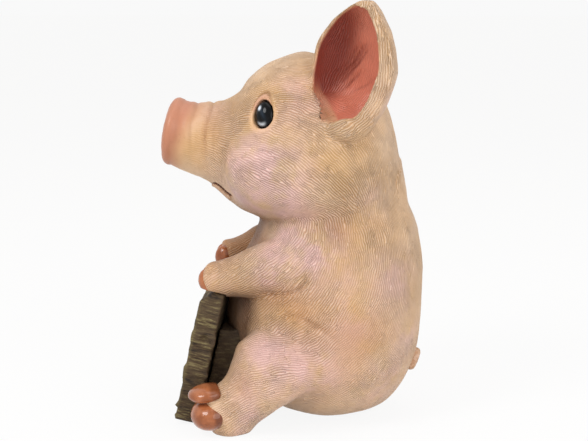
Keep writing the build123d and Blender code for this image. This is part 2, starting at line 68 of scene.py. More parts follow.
head = {
    "length": 140.5, "halfWidth": 58.5, "halfHeight": 60.0, "tilt": 10.0,
    "snoutReach": 95.0, "snoutRise": 11.4,
    # back, shift, half width, up, down
    "shares": [
        (0, 0, 0.375, 0.345, 0.36), (0.035, 0, 0.355, 0.33, 0.385), (0.09, 0, 0.365, 0.347, 0.413),
        (0.171, -0.01, 0.42, 0.413, 0.45), (0.243, -0.03, 0.52, 0.563, 0.52),
        (0.283, -0.05, 0.62, 0.76, 0.56), (0.371, -0.1, 0.8, 1.015, 0.617),
        (0.521, -0.15, 0.97, 1.21, 0.6), (0.664, -0.16, 1, 1.185, 0.56), (0.804, -0.1, 0.93, 0.967, 0.5),
        (0.895, -0.04, 0.75, 0.72, 0.43), (0.962, 0, 0.5, 0.37, 0.3), (1, 0, 0.24, 0.13, 0.13),
    ],
    "cheek": (33.5, -8.5, 61.0), "cheekRadius": 23.0,  # aside, up, behind the snout face
}

mouth = {
    "back": 33.0, "drop": 26.0, "slope": 17.0, "ends": (-14.0, 10.5),
    "frontDrop": 0.3,  # how fast the line runs down in front, towards the chin
    "gap": 0.8, "depth": 2.0, "lip": 1.9,
}

eye = {
    "halfWidth": 7.1, "halfHeight": 9.0, "thickness": 5.6, "sink": 1.9,
    "back": 3.0, "rise": 24.5, "turn": 33.0, "lift": 15.0,
    "lid": 1.7, "shift": 1.6, "roll": 13.0, "pear": 0.13,  # leans forward, narrower at the top
}

ear = {
    "length": 84.0, "halfWidth": 28.3, "depth": 24.0,
    "rise": 18.0, "inset": 12.0, "back": 4.4, "turn": 33.0, "splay": 8.0, "rake": 15.5,
    # up, shift, half width, lip, depth of the back
    "shares": [
        (-0.04, 0, 0.2, 0.1, 0.16), (0, 0, 0.34, 0.16, 0.26), (0.05, 0, 0.56, 0.19, 0.46),
        (0.16, 0, 0.77, 0.22, 0.76), (0.36, 0, 0.94, 0.22, 1), (0.57, 0.02, 1, 0.2, 0.92),
        (0.77, 0.07, 0.77, 0.18, 0.66), (0.91, 0.12, 0.45, 0.15, 0.4), (0.98, 0.14, 0.21, 0.1, 0.2),
        (1, 0.14, 0.1, 0.05, 0.1),
    ],
    "hollow": [
        (0.13, 0.02, 0.16, 0.6, 0.1), (0.17, 0, 0.4, 0.6, 0.34), (0.24, 0, 0.6, 0.6, 0.62),
        (0.4, 0, 0.75, 0.6, 0.84), (0.57, 0.02, 0.79, 0.6, 0.76), (0.77, 0.07, 0.6, 0.6, 0.52),
        (0.89, 0.12, 0.36, 0.6, 0.28), (0.945, 0.13, 0.18, 0.6, 0.14),
    ],
    "hollowAside": 2.4,  # the rim is thicker behind than in front
    "lobe": (-7.0, 5.0, 11.0), "lobeRadii": (10.5, 6.5, 8.5),  # across, open, up
}

foreleg = {
    "length": 71.0, "halfWidth": 16.5, "halfHeight": 19.5, "dip": 11.2, "toeIn": 3.0,
    "root": (34.8, 10.2, 9.07),  # root of the hoof against the board's rear top edge
    "shares": [
        (-0.2, 0, 0.5, 0.5, 0.35), (0, 0, 0.8, 0.84, 0.6), (0.2, 0, 0.98, 0.97, 0.84),
        (0.42, 0, 1, 0.88, 0.98), (0.62, 0, 0.88, 0.72, 0.9), (0.8, 0, 0.73, 0.54, 0.76),
        (0.93, 0, 0.68, 0.48, 0.68), (1, 0, 0.66, 0.5, 0.64), (1.07, 0, 0.62, 0.48, 0.6),
    ],
    "sleeve": 0.6, "slant": 0.32,  # end of the skin past the root of the hoof, shorter on the inner side
}

hindLeg = {
    "length": 66.0, "halfWidth": 26.5, "halfHeight": 28.0, "dip": 30.0, "toeOut": 17.5,
    "hipX": 38.0, "forward": 9.5, "hipHeight": 44.6,
    "shares": [
        (-0.25, 0, 0.45, 0.45, 0.3), (0, 0, 0.84, 0.88, 0.66), (0.12, 0, 0.92, 1.06, 0.62),
        (0.29, 0, 0.92, 1.15, 0.57), (0.47, 0, 0.84, 1.12, 0.56), (0.61, 0, 0.71, 0.88, 0.6),
        (0.73, 0, 0.59, 0.66, 0.64), (0.86, 0.05, 0.52, 0.53, 0.76), (1, 0.14, 0.43, 0.43, 0.72),
        (1.04, 0.1, 0.32, 0.32, 0.56), (1.08, 0.06, 0.18, 0.2, 0.3),
    ],
    "ball": (0.0, -6.0, 62.6), "ballRadius": 10.8,  # across, above, along
}

board = {
    "width": 86.0, "length": 86.2, "thickness": 15.5, "lean": 12.5, "reach": 79.0,
    "bevel": 8.0, "clearance": 0.3,
}

nose = {
    "thickness": 7.6, "halfWidth": 23.2, "halfHeight": 21.4,
    # out, shift, half width, up, down
    "shares": [
        (-0.3, 0, 0.86, 0.86, 0.88), (0, 0, 0.94, 0.94, 0.96), (0.3, 0, 1, 1, 1.02),
        (0.6, 0, 0.97, 0.96, 0.99), (0.85, 0, 0.84, 0.82, 0.87), (0.97, 0, 0.66, 0.64, 0.68),
        (1.02, 0, 0.38, 0.36, 0.4), (1.04, 0, 0.12, 0.12, 0.12),
    ],
    "nostril": (8.4, 3.8, 6.0, 5.0, 14.0),  # to the side, half width, half height, depth, lean
}


# fields in millimetres, below zero inside
def unit(vector):
    vector = np.asarray(vector, dtype=float)
    return vector / np.linalg.norm(vector)


def turned(vector, axis, degrees):
    return np.array(Matrix.Rotation(math.radians(degrees), 3, axis) @ Vector(vector))


def fade(value, low, high):
    t = np.clip((value - low) / (high - low), 0, 1)
    return t * t * (3 - 2 * t)


def smoothShares(shares, steps=600):
    # monotone curves through the rows of a table of sections
    table = np.array(shares, dtype=float)
    t, rows = table[:, 0], table[:, 1:]
    gap = np.diff(t)[:, None]
    slope = np.diff(rows, axis=0) / gap
    tangent = np.zeros_like(rows)
    rising = slope[:-1] * slope[1:] > 0
    blend = 2 * slope[:-1] * slope[1:] / np.where(rising, slope[:-1] + slope[1:], 1.0)
    tangent[1:-1] = np.where(rising, blend, 0.0)
    tangent[0], tangent[-1] = slope[0], slope[-1]
    at = np.linspace(t[0], t[-1], steps)
    k = np.clip(np.searchsorted(t, at, side="right") - 1, 0, len(t) - 2)
    width = (t[k + 1] - t[k])[:, None]
    u = (at - t[k])[:, None] / width
    out = (
        (2 * u**3 - 3 * u**2 + 1) * rows[k] + (u**3 - 2 * u**2 + u) * width * tangent[k]
        + (3 * u**2 - 2 * u**3) * rows[k + 1] + (u**3 - u**2) * width * tangent[k + 1]
    )
    return at.astype(np.float32), out.astype(np.float32)


class EggBody:
    # a body of egg sections along an axis, as the castings are drawn
    def __init__(self, origin, across, along, size, shares):
        self.origin = np.asarray(origin, dtype=float)
        self.along = unit(along)
        self.across = unit(np.asarray(across) - self.along * np.dot(across, self.along))
        self.above = np.cross(self.along, self.across)
        self.length, self.halfWidth, self.halfHeight = size
        self.t, self.rows = smoothShares(shares)

    def local(self, x, y, z):
        dx, dy, dz = x - self.origin[0], y - self.origin[1], z - self.origin[2]
        return [
            (dx * axis[0] + dy * axis[1] + dz * axis[2]).astype(np.float32)
            for axis in (self.across, self.above, self.along)
        ]

    def place(self, across, above, along):
        return self.origin + self.across * across + self.above * above + self.along * along

    def field(self, x, y, z):
        u, v, w = self.local(x, y, z)
        t = w / self.length
        at = np.clip(t, self.t[0], self.t[-1])
        shift, width, up, down = [
            np.interp(at, self.t, self.rows[:, k]).astype(np.float32) for k in range(4)
        ]
        v = v - shift * self.halfHeight
        a = width * self.halfWidth
        b = np.where(v > 0, up, down) * self.halfHeight
        ratio = np.sqrt((u / a) ** 2 + (v / b) ** 2) + 1e-4
        inPlane = np.sqrt(u * u + v * v)
        side = np.where(inPlane < 1.0, -np.minimum(a, b), inPlane * (1 - 1 / ratio))
        beyond = np.abs(t - at) * self.length
        return np.where(beyond > 0, np.sqrt(np.maximum(side, 0) ** 2 + beyond**2), side)


def softUnion(a, b, k):
    h = np.clip(0.5 + 0.5 * (b - a) / k, 0, 1)
    return b + (a - b) * h - k * h * (1 - h)


def softCut(a, b, k):
    return -softUnion(-a, b, k)


def ellipsoid(x, y, z, centre, radii, axes=None):
    d = [x - centre[0], y - centre[1], z - centre[2]]
    if axes is not None:
        d = [d[0] * axis[0] + d[1] * axis[1] + d[2] * axis[2] for axis in axes]
    ratio = np.sqrt(sum((d[k] / radii[k]) ** 2 for k in range(3)))
    return (ratio - 1) * min(radii)


# frames of the castings
tilt = math.radians(head["tilt"])
headBack = np.array([0, math.cos(tilt), -math.sin(tilt)])
headUp = np.array([0, math.sin(tilt), math.cos(tilt)])
snoutMiddle = np.array([0, torso["middleY"] - head["snoutReach"], torso["height"] + head["snoutRise"]])
lean = math.radians(board["lean"])
boardUp = np.array([0, math.sin(lean), math.cos(lean)])
boardForward = np.array([0, -math.cos(lean), math.sin(lean)])
boardFoot = np.array([0, torso["middleY"] - board["reach"], 0])


def headSkin(section, back, rise, inset):
    along, shift, width, above, _ = head["shares"][section]
    climb = (rise - head["halfHeight"] * shift) / (head["halfHeight"] * above)
    reach = head["halfWidth"] * width * math.sqrt(1 - climb**2) - inset
    place = snoutMiddle + headBack * (head["length"] * along + back) + headUp * rise
    return place + np.array([reach, 0, 0])


def size(values):
    return values["length"], values["halfWidth"], values["halfHeight"]


def earBody(shares, aside=0.0):
    up = turned(turned((0, 0, 1), "X", -ear["rake"]), "Y", ear["splay"])
    turn = math.radians(ear["turn"])
    wide = unit(np.cross((math.cos(turn), -math.sin(turn), 0), up))
    foot = headSkin(8, ear["back"], ear["rise"], ear["inset"])
    return EggBody(foot + wide * aside, wide, up, (ear["length"], ear["halfWidth"], ear["depth"]), shares)


def forelegBody():
    toeIn, dip = math.radians(foreleg["toeIn"]), math.radians(foreleg["dip"])
    along = unit((-math.sin(toeIn), -math.cos(toeIn) * math.cos(dip), -math.sin(dip)))
    x, forward, rise = foreleg["root"]
    root = boardFoot + boardUp * board["length"] + np.array([x, -forward, rise])
    wide = -unit(np.cross(along, (0, 0, 1)))
    return EggBody(root - along * foreleg["length"], wide, along, size(foreleg), foreleg["shares"])


def hindLegBody():
    toeOut, dip = math.radians(hindLeg["toeOut"]), math.radians(hindLeg["dip"])
    along = (math.sin(toeOut) * math.cos(dip), -math.cos(toeOut) * math.cos(dip), -math.sin(dip))
    wide = -unit(np.cross(along, (0, 0, 1)))
    hip = (hindLeg["hipX"], torso["middleY"] - hindLeg["forward"], hindLeg["hipHeight"])
    return EggBody(hip, wide, along, size(hindLeg), hindLeg["shares"])


torsoBody = EggBody(
    (0, torso["middleY"], 0), (1, 0, 0), (0, 0, 1),
    (torso["height"], torso["halfWidth"], torso["halfDepth"]), torso["shares"],
)
headBody = EggBody(snoutMiddle, (-1, 0, 0), headBack, size(head), head["shares"])
earOuter, earHollow = earBody(ear["shares"]), earBody(ear["hollow"], ear["hollowAside"])
armBody, thighBody = forelegBody(), hindLegBody()
eyePlace = headSkin(6, eye["back"], eye["rise"], eye["sink"]) + headBack * eye["shift"]
eyeOut = turned(turned((1, 0, 0), "Y", -eye["lift"]), "Z", -eye["turn"])
eyeUp = turned(turned((0, 0, 1), "Y", -eye["lift"]), "Z", -eye["turn"])
roll = math.radians(eye["roll"])
eyeUp = eyeUp * math.cos(roll) - np.cross(eyeUp, eyeOut) * math.sin(roll)
eyeAxes = (np.cross(eyeUp, eyeOut), eyeUp, eyeOut)
mouthMiddle = snoutMiddle + headBack * mouth["back"] - headUp * mouth["drop"]
noseSize = nose["thickness"], nose["halfWidth"], nose["halfHeight"]
noseBody = EggBody(snoutMiddle, (1, 0, 0), -headBack, noseSize, nose["shares"])
torsoField, noseField = torsoBody.field, noseBody.field


def headField(x, y, z):
    skull = headBody.field(x, y, z)
    aside, up, back = head["cheek"]
    middle = snoutMiddle + headBack * back + headUp * up + np.array([aside, 0, 0])
    cheek = ellipsoid(x, y, z, middle, [head["cheekRadius"]] * 3)
    return softUnion(skull, cheek, 8.0)


def nostrilField(x, y, z):
    spread, halfWidth, halfHeight, deep, leanBy = nose["nostril"]
    turn = math.radians(leanBy)
    u, v, w = noseBody.local(np.abs(x), y, z)
    u = u - spread
    u, v = u * math.cos(turn) + v * math.sin(turn), v * math.cos(turn) - u * math.sin(turn)
    inward = np.minimum(w - nose["thickness"], 0) / deep
    return (np.sqrt((u / halfWidth) ** 2 + (v / halfHeight) ** 2 + inward**2) - 1) * halfWidth


def scoopField(x, y, z):
    # the hollow of the ear, only where the ear is
    return np.where(earField(x, y, z) < 2.0, earHollow.field(x, y, z), 9.0)


def earField(x, y, z):
    lobe = ellipsoid(
        x, y, z, earOuter.place(*ear["lobe"]), ear["lobeRadii"],
        (earOuter.across, earOuter.above, earOuter.along),
    )
    return softUnion(earOuter.field(x, y, z), lobe, 4.0)


def armField(x, y, z):
    u, v, w = armBody.local(x, y, z)
    end = w - foreleg["length"] - foreleg["sleeve"] - foreleg["slant"] * u
    return softCut(armBody.field(x, y, z), -end, 5.0)


def thighField(x, y, z):
    ball = ellipsoid(x, y, z, thighBody.place(*hindLeg["ball"]), [hindLeg["ballRadius"]] * 3)
    return softUnion(thighBody.field(x, y, z), ball, 6.0)


def eyeRatio(aside, up):
    # 1 on the outline of the eye
    pear = 1 - eye["pear"] * np.clip(up / eye["halfHeight"], -1.5, 1.5)
    return np.sqrt((aside / (pear * eye["halfWidth"])) ** 2 + (up / eye["halfHeight"]) ** 2) + 1e-4


# the block of clay
voxel = clay["voxel"]
xs, ys, zs = [
    np.arange(low, high + voxel / 2, voxel, dtype=np.float32) for low, high in zip(clay["low"], clay["high"])
]
# how the castings run into each other: field, corners of its block, softness of the seam, what the
# softness gains towards the back and between which depths, how far that climbs with height, cut
castingRuns = [
    (headField, (0, -88, 112), (72, 84, 262), 2.6, 15.0, (5, 42), 0, None),
    (noseField, (0, -88, 150), (30, -64, 210), 1.5, 0, (0, 1), 0, nostrilField),
    (armField, (14, -76, 62), (70, 66, 156), 2.2, 13.0, (0, 26), 0.8, None),
    (thighField, (6, -66, -4), (76, 76, 108), 2.6, 13.0, (4, 34), 0, None),
    (earField, (14, 2, 158), (74, 80, 266), 3.4, 0, (0, 1), 0, scoopField),
]


def block(low, high):
    # slices and coordinates of the part of the block between two corners
    cuts, axes = [], []
    for k, line in enumerate((xs, ys, zs)):
        a, b = np.searchsorted(line, low[k]), np.searchsorted(line, high[k])
        cuts.append(slice(a, b))
        shape = [1, 1, 1]
        shape[k] = -1
        axes.append(line[a:b].reshape(shape))
    return tuple(cuts), axes


solid = np.full((len(xs), len(ys), len(zs)), 20.0, dtype=np.float32)
part, at = block((0, -52, -4), (66, 90, 190))
solid[part] = torsoField(*at)

for field, low, high, soft, gain, (start, end), climb, cut in castingRuns:
    part, at = block(low, high)
    behind = fade(at[1] + climb * (at[2] - 100.0), start, end)
    solid[part] = softUnion(solid[part], field(*at), soft + gain * behind)
    if cut:
        solid[part] = softCut(solid[part], cut(*at), 1.6)

# eye socket with its lids
part, at = block((14, -50, 172), (62, 14, 222))
u, v, w = [
    (at[0] - eyePlace[0]) * axis[0] + (at[1] - eyePlace[1]) * axis[1] + (at[2] - eyePlace[2]) * axis[2]
    for axis in eyeAxes
]
ratio = eyeRatio(u, v)
inPlane = np.sqrt(u * u + v * v)
rim = inPlane * (1 - 1 / ratio) - 0.9
lid = np.sqrt(rim**2 + (w - 0.9 - 0.05 * v) ** 2) - eye["lid"] - 0.04 * v
solid[part] = softUnion(solid[part], lid, 3.0)
socket = np.maximum(rim + 0.9, np.abs(w) - 7.0)
solid[part] = softCut(solid[part], socket, 0.8)

# mouth: a slit between the lips that runs up into the cheek
def mouthHeight(along, up):
    # height above the curved line of the mouth
    return up + 0.9 * fade(along, -2.0, 9.0) + mouth["frontDrop"] * np.minimum(along + 1.5, 0) ** 2


def mouthEnds(along):
    # above zero between the ends of the line
    return np.minimum(along - mouth["ends"][0], mouth["ends"][1] - along)


part, at = block((0, -66, 126), (40, -16, 172))
slope = math.radians(mouth["slope"])
slitAlong = headBack * math.cos(slope) - headUp * math.sin(slope)
slitUp = headUp * math.cos(slope) + headBack * math.sin(slope)
d = [at[k] - mouthMiddle[k] for k in range(3)]
s = sum(d[k] * slitAlong[k] for k in range(3))
h = mouthHeight(s, sum(d[k] * slitUp[k] for k in range(3)))
skull = headBody.field(*at)
lipShape = np.sqrt((h + 3.0) ** 2 + (skull + 1.2) ** 2) - mouth["lip"]
lipShape = np.where(mouthEnds(s) > 0, lipShape + 0.1 * np.maximum(-3.0 - s, 0), 9.0)
solid[part] = softUnion(solid[part], lipShape, 3.5)
slit = np.maximum(np.abs(h) - mouth["gap"] / 2, np.maximum(-skull - mouth["depth"], -mouthEnds(s)))
solid[part] = softCut(solid[part], slit, 0.9)

# board seat, table and the plug's hole
part, at = block((0, -80, -4), (60, -20, 100))
d = [at[k] - boardFoot[k] for k in range(3)]
along = d[1] * boardUp[1] + d[2] * boardUp[2]
out = d[1] * boardForward[1] + d[2] * boardForward[2]
gap = board["clearance"]
seat = np.maximum(along - board["length"] - gap, -out - gap)
seat = np.maximum(np.abs(at[0]) - board["width"] / 2 - gap, seat)
solid[part] = np.maximum(solid[part], -seat)
part, at = block((0, 0, -4), (20, 50, 20))
across = np.sqrt(at[0] ** 2 + (at[1] - torso["middleY"]) ** 2)
for radius, depth in (torso["plugHole"], torso["plugBore"]):
    solid[part] = np.maximum(solid[part], -np.maximum(across - radius, at[2] - depth))
solid = np.maximum(solid, -zs[None, None, :])
print("clay built up")


# mesh of the whole clay, both halves
def corners(f):
    # the eight corners of a lattice cell, each with its share
    for corner in np.ndindex(2, 2, 2):
        yield corner, math.prod(f[:, k] if corner[k] else 1 - f[:, k] for k in range(3))


def sample(grid, points):
    # smooth reading of the left half at points of either half
    p = np.stack([np.abs(points[:, 0]), points[:, 1], points[:, 2]], 1)
    p = np.clip((p - np.array(clay["low"])) / voxel, 0, np.array(grid.shape) - 1.001)
    i = p.astype(np.int32)
    out = 0
    for corner, share in corners((p - i).astype(np.float32)):
        out = out + share * grid[tuple((i + corner).T)]
    return out


def steepest(grid, points, step=0.7):
    slope = np.empty_like(points)
    for k in range(3):
        shift = np.zeros(3)
        shift[k] = step
        slope[:, k] = (sample(grid, points + shift) - sample(grid, points - shift)) / (2 * step)
    return slope


def quadsOf(field, low, step):
    grid = openvdb.FloatGrid(background=3.0)
    grid.copyFromArray(np.ascontiguousarray(np.clip(field, -3, 3), dtype=np.float64))
    points, quads = grid.convertToQuads(isovalue=0.0)
    points = np.asarray(points, dtype=np.float64) * step + np.asarray(low)
    quads = np.asarray(quads, dtype=np.int64)
    a, b, c = points[quads[:, 0]], points[quads[:, 1]], points[quads[:, 2]]
    volume = np.einsum("ij,ij->i", a, np.cross(b, c)).sum()
    return points, (quads[:, ::-1] if volume < 0 else quads)


def edgesOf(quads):
    pairs = np.concatenate([quads[:, [k, (k + 1) % 4]] for k in range(4)])
    pairs = np.sort(pairs, axis=1)
    key = np.unique(pairs[:, 0] * (quads.max() + 1) + pairs[:, 1])
    return np.stack([key // (quads.max() + 1), key % (quads.max() + 1)], 1)


def spread(values, edges):
    # sum of the neighbours' values
    out = np.empty((len(values), values.shape[1]))
    for k in range(values.shape[1]):
        out[:, k] = np.bincount(edges[:, 0], values[edges[:, 1], k], len(values))
        out[:, k] += np.bincount(edges[:, 1], values[edges[:, 0], k], len(values))
    return out


def relaxed(places, edges, share):
    # each point moves by a share of the way to the middle of its neighbours
    degree = np.bincount(edges.ravel(), minlength=len(places)).astype(float)[:, None]
    return (1 - share) * places + share * spread(places, edges) / degree


def normalsOf(points, quads):
    diagonals = np.cross(
        points[quads[:, 2]] - points[quads[:, 0]], points[quads[:, 3]] - points[quads[:, 1]]
    )
    out = np.empty_like(points)
    for k in range(3):
        out[:, k] = np.bincount(quads.ravel(), np.repeat(diagonals[:, k], 4), len(points))
    return out / np.maximum(np.linalg.norm(out, axis=1), 1e-9)[:, None]


both = np.concatenate([solid[:0:-1], solid], axis=0)
points, quads = quadsOf(both, (-clay["high"][0], clay["low"][1], clay["low"][2]), voxel)
edges = edgesOf(quads)
for smoothRound in range(clay["smoothRounds"]):
    points = relaxed(points, edges, 0.5)
    slope = steepest(solid, points)
    push = sample(solid, points)[:, None] * slope / np.maximum((slope**2).sum(1), 0.2)[:, None]
    reach = np.linalg.norm(push, axis=1)[:, None]
    points = points - push * np.minimum(1, 0.8 / np.maximum(reach, 1e-6))
normals = normalsOf(points, quads)
print("clay meshed:", len(points), "points")


# which casting each point belongs to
seams = {"neckRise": 0.4, "slides": 2, "probe": 0.4, "slideLimit": 0.45}


def neckedHead(x, y, z):
    return headField(x, y, z) - seams["neckRise"]  # so that the neck seam lies in the crease


castingFields = {
    "torso": torsoField, "head": neckedHead, "ear": earField, "foreleg": armField,
    "hindLeg": thighField, "nose": noseField,
}
castings = list(castingFields)
x, y, z = np.abs(points[:, 0]), points[:, 1], points[:, 2]
reachOf = {name: field(x, y, z) for name, field in castingFields.items()}
hollowOf = earHollow.field(x, y, z)
reachOf["ear"] = np.where((hollowOf < 1.5) & (reachOf["ear"] < 3.0), -9.0, reachOf["ear"])
owner = np.stack(list(reachOf.values()), 1).argmin(1)
faceOwner = np.stack([(owner[quads] == k).sum(1) for k in range(len(castings))], 1).argmax(1)

# seams: points between two castings slide onto the line where both reach equally
touched = np.zeros((len(points), len(castings)), dtype=bool)
touched[quads.ravel(), np.repeat(faceOwner, 4)] = True
seam = np.where(touched.sum(1) == 2)[0]
seamRow = np.arange(len(seam))
first = touched[seam].argmax(1)
second = len(castings) - 1 - touched[seam][:, ::-1].argmax(1)
for slide in range(seams["slides"]):
    gaps = []
    for probe in np.concatenate([np.zeros((1, 3)), np.eye(3) * seams["probe"]]):
        p = points[seam] + probe
        values = [field(np.abs(p[:, 0]), p[:, 1], p[:, 2]) for field in castingFields.values()]
        values = np.stack(values, 1)
        gaps.append(values[seamRow, first] - values[seamRow, second])
    slope = np.stack([(gap - gaps[0]) / seams["probe"] for gap in gaps[1:]], 1)
    slope -= normals[seam] * (slope * normals[seam]).sum(1)[:, None]
    push = slope * (gaps[0] / np.maximum((slope**2).sum(1), 0.05))[:, None]
    far = np.maximum(np.linalg.norm(push, axis=1), 1e-6)
    points[seam] -= push * np.minimum(1, seams["slideLimit"] / far)[:, None]
print("castings parted")

# folds and wrinkles that are shallower than the grain of the clay
relief = {
    "lumps": 0.22, "lumpSize": 9.0,
    "snoutRings": ((3.0, 0.25), (11.0, 0.66), (20.5, 0.84), (26.0, 0.2)),  # behind the snout, depth
    "ringWidth": 1.2,
    "earGroove": 0.8,
    "lidArch": (5.4, 0.9),  # above the eye, depth
    # two ends in space, depth, half width
    "folds": [
        ((33, -19, 184), (47, -11, 186), 0.4, 1.6), ((48, 19, 123), (52, 17, 111), 0.8, 1.2),
        ((52, 17, 111), (54, 14, 103), 0.8, 1.3), ((54, 14, 103), (55, 12, 96), 0.6, 1.4),
        ((55, 12, 96), (54, 6, 90), 0.9, 1.5), ((54, 6, 90), (51, -3, 87), 1, 1.6),
        ((51, -3, 87), (49, -13, 86), 0.7, 1.6), ((46, 27, 127), (51, 38, 124), 0.5, 2),
        ((54, -2, 74), (57, 9, 75), 0.7, 1.8), ((57, 9, 75), (60, 25, 66), 1, 1.8),
        ((58, 6, 79), (60, 18, 76), 0.6, 1.6), ((55, -2, 82), (58, 10, 83), 0.4, 1.5),
        ((59, 25, 66), (60, 33, 58), 0.4, 1.8), ((60, -6, 24), (64, 0, 32), 0.6, 1.6),
        ((61, -12, 20), (66, -8, 30), 0.4, 1.5), ((62, -28, 40), (66, -22, 34), 0.35, 1.4),
        ((63, -31, 33), (67, -24, 28), 0.35, 1.4),
    ],
    # swellings: middle, reach, height
    "swells": [(54, 2, 98, 7.5, 2.2), (53, 8, 106, 6, 0.9), (52, -9, 94, 6, 0.6), (13, -28, 117, 10, -3.4)],
    "rightSwells": [(-28, -26, 113, 9, 3.2)],  # the right foreleg climbs more steeply
    # inside the ear, from its root up to the rim: two ends across and up, depth
    "grooves": [
        ((18.5, 29), (5.5, 56), 1), ((16.7, 30.5), (3.5, 57.5), 0.8), ((15, 30), (3, 54), 0.9),
        ((20, 30), (9.5, 54), 0.7), ((13, 25), (5, 40), 0.6), ((8, 24), (-6, 40), 0.35),
    ],
    "grooveWidth": 0.85, "grooveWaver": 0.9,
}


def valueNoise(points, size, seed):
    # smooth lattice noise, between -1 and 1
    p = points / size + 137.31 * seed
    i = np.floor(p).astype(np.int64)
    f = p - i
    out = 0
    for corner, share in corners(f * f * (3 - 2 * f)):
        key = np.bitwise_xor.reduce((i + corner) * (73856093, 19349663, 83492791), axis=1)
        key = (key ^ (key >> 13)) * 1274126177 & 0x7FFFFFFF
        out = out + share * ((key >> 7) % 4096 / 2048.0 - 1)
    return out


def hillAt(places, middle, reach):
    return np.exp(-((places - np.array(middle)) ** 2).sum(1) / (2 * reach**2))


def fromSegment(points, a, b):
    a, b = np.asarray(a, dtype=float), np.asarray(b, dtype=float)
    t = np.clip((points - a) @ (b - a) / np.dot(b - a, b - a), 0, 1)
    return np.linalg.norm(points - a - t[:, None] * (b - a), axis=1), t


mirrored = np.stack([np.abs(points[:, 0]), points[:, 1], points[:, 2]], 1)
x, y, z = mirrored.T
headAlong = (mirrored - snoutMiddle) @ headBack
headRise = (mirrored - snoutMiddle) @ headUp
onHead = owner == castings.index("head")
raised = relief["lumps"] * valueNoise(points, relief["lumpSize"], 1)
raised += 0.4 * relief["lumps"] * valueNoise(points, 0.45 * relief["lumpSize"], 2)
# ringMask: painted shade in the creases of the snout rings
ringMask = np.zeros(len(points))
for place, depth in relief["snoutRings"]:
    wave = headAlong - place + 0.16 * headRise - 0.005 * headRise**2 - 0.8 * valueNoise(points, 14.0, 3)
    upper = 0.12 + 0.88 * fade(headRise, -13.0, 4.0)
    ridge = np.exp(-((wave / relief["ringWidth"]) ** 2)) - 0.6 * np.exp(-(((wave + 2.8) / 1.8) ** 2))
    ringMask = np.maximum(ringMask, depth * upper * onHead * np.exp(-((wave / 1.0) ** 2)))
    raised -= depth * upper * onHead * ridge
foldMask = np.zeros(len(points))
for a, b, depth, half in relief["folds"]:
    distance, t = fromSegment(mirrored, a, b)
    line = np.exp(-((distance / half) ** 2))
    wave = line - 0.45 * np.exp(-(((distance - 2 * half) / half) ** 2))
    raised -= depth * wave * (0.4 + 2.4 * t * (1 - t))
    foldMask = np.maximum(foldMask, 0.7 * depth * line * (0.5 + 2.0 * t * (1 - t)))
for *middle, reach, height in relief["swells"]:
    raised += height * hillAt(mirrored, middle, reach)
for *middle, reach, height in relief["rightSwells"]:
    raised += height * hillAt(points, middle, reach)

# the grooves inside the ear
earSide, earOpen, earUp = earOuter.local(x, y, z)
inEar = (1 - fade(hollowOf, 0.2, 1.5)) * (reachOf["ear"] < 0)
grooveMask = np.zeros(len(points))
earPlane = np.stack([earSide, earUp, 0 * earUp], 1).astype(float)
earWaver = np.stack([relief["grooveWaver"] * valueNoise(points, 6.0, 8), 0 * earUp, 0 * earUp], 1)
for a, b, depth in relief["grooves"]:
    distance, t = fromSegment(earPlane + earWaver, (*a, 0), (*b, 0))
    line = np.exp(-((distance / relief["grooveWidth"]) ** 2)) * depth * inEar * (0.35 + 2.6 * t * (1 - t))
    grooveMask = np.maximum(grooveMask, line)
raised -= relief["earGroove"] * grooveMask

# the small arch of the upper lid
u, v, w = [((mirrored - eyePlace) * axis).sum(1) for axis in eyeAxes]
ratio = eyeRatio(u, v)
fromEye = np.sqrt(u * u + v * v) * (1 - 1 / ratio) + 20.0 * (np.abs(w) > 9)
archHeight = relief["lidArch"][0] * np.clip(1 - ((u + 1.0) / 8.0) ** 2, 0.1, 1)
lidArch = fade(v, 1.0, 5.0) * fade(-np.abs(u + 1.0), -8.5, -6.5)
lidCrease = np.exp(-(((fromEye - archHeight) / 0.9) ** 2)) * lidArch
raised -= relief["lidArch"][1] * lidCrease
raised *= fade(z, 0.0, 4.0)
points = points + normals * raised[:, None]
normals = normalsOf(points, quads)
print("folds pressed in")


# how deep a point lies among its neighbours, for the painted shade in the creases and hollows
def blurred(grid, reach):
    width = 2 * reach + 1
    for axis in range(3):
        margins = [(0, 0)] * 3
        margins[axis] = (reach + 1, reach)
        total = np.cumsum(np.pad(grid, margins, mode="edge"), axis=axis)
        later, earlier = [slice(None)] * 3, [slice(None)] * 3
        later[axis], earlier[axis] = slice(width, None), slice(None, -width)
        grid = (total[tuple(later)] - total[tuple(earlier)]) / width
    return grid


# painted shade in the creases and hollows: reach of the blur, how far above the skin it is read, and what
# counts as deep
glaze = {"recess": (3, 1.5, 0.3, 0.62), "shade": (8, 5.0, 0.24, 0.62)}
filled = np.clip(0.5 - both / voxel, 0, 1).astype(np.float32)
recess, shade = [
    fade(sample(blurred(filled, reach)[len(xs) - 1:], points + normals * above), low, high)
    for reach, above, low, high in glaze.values()
]

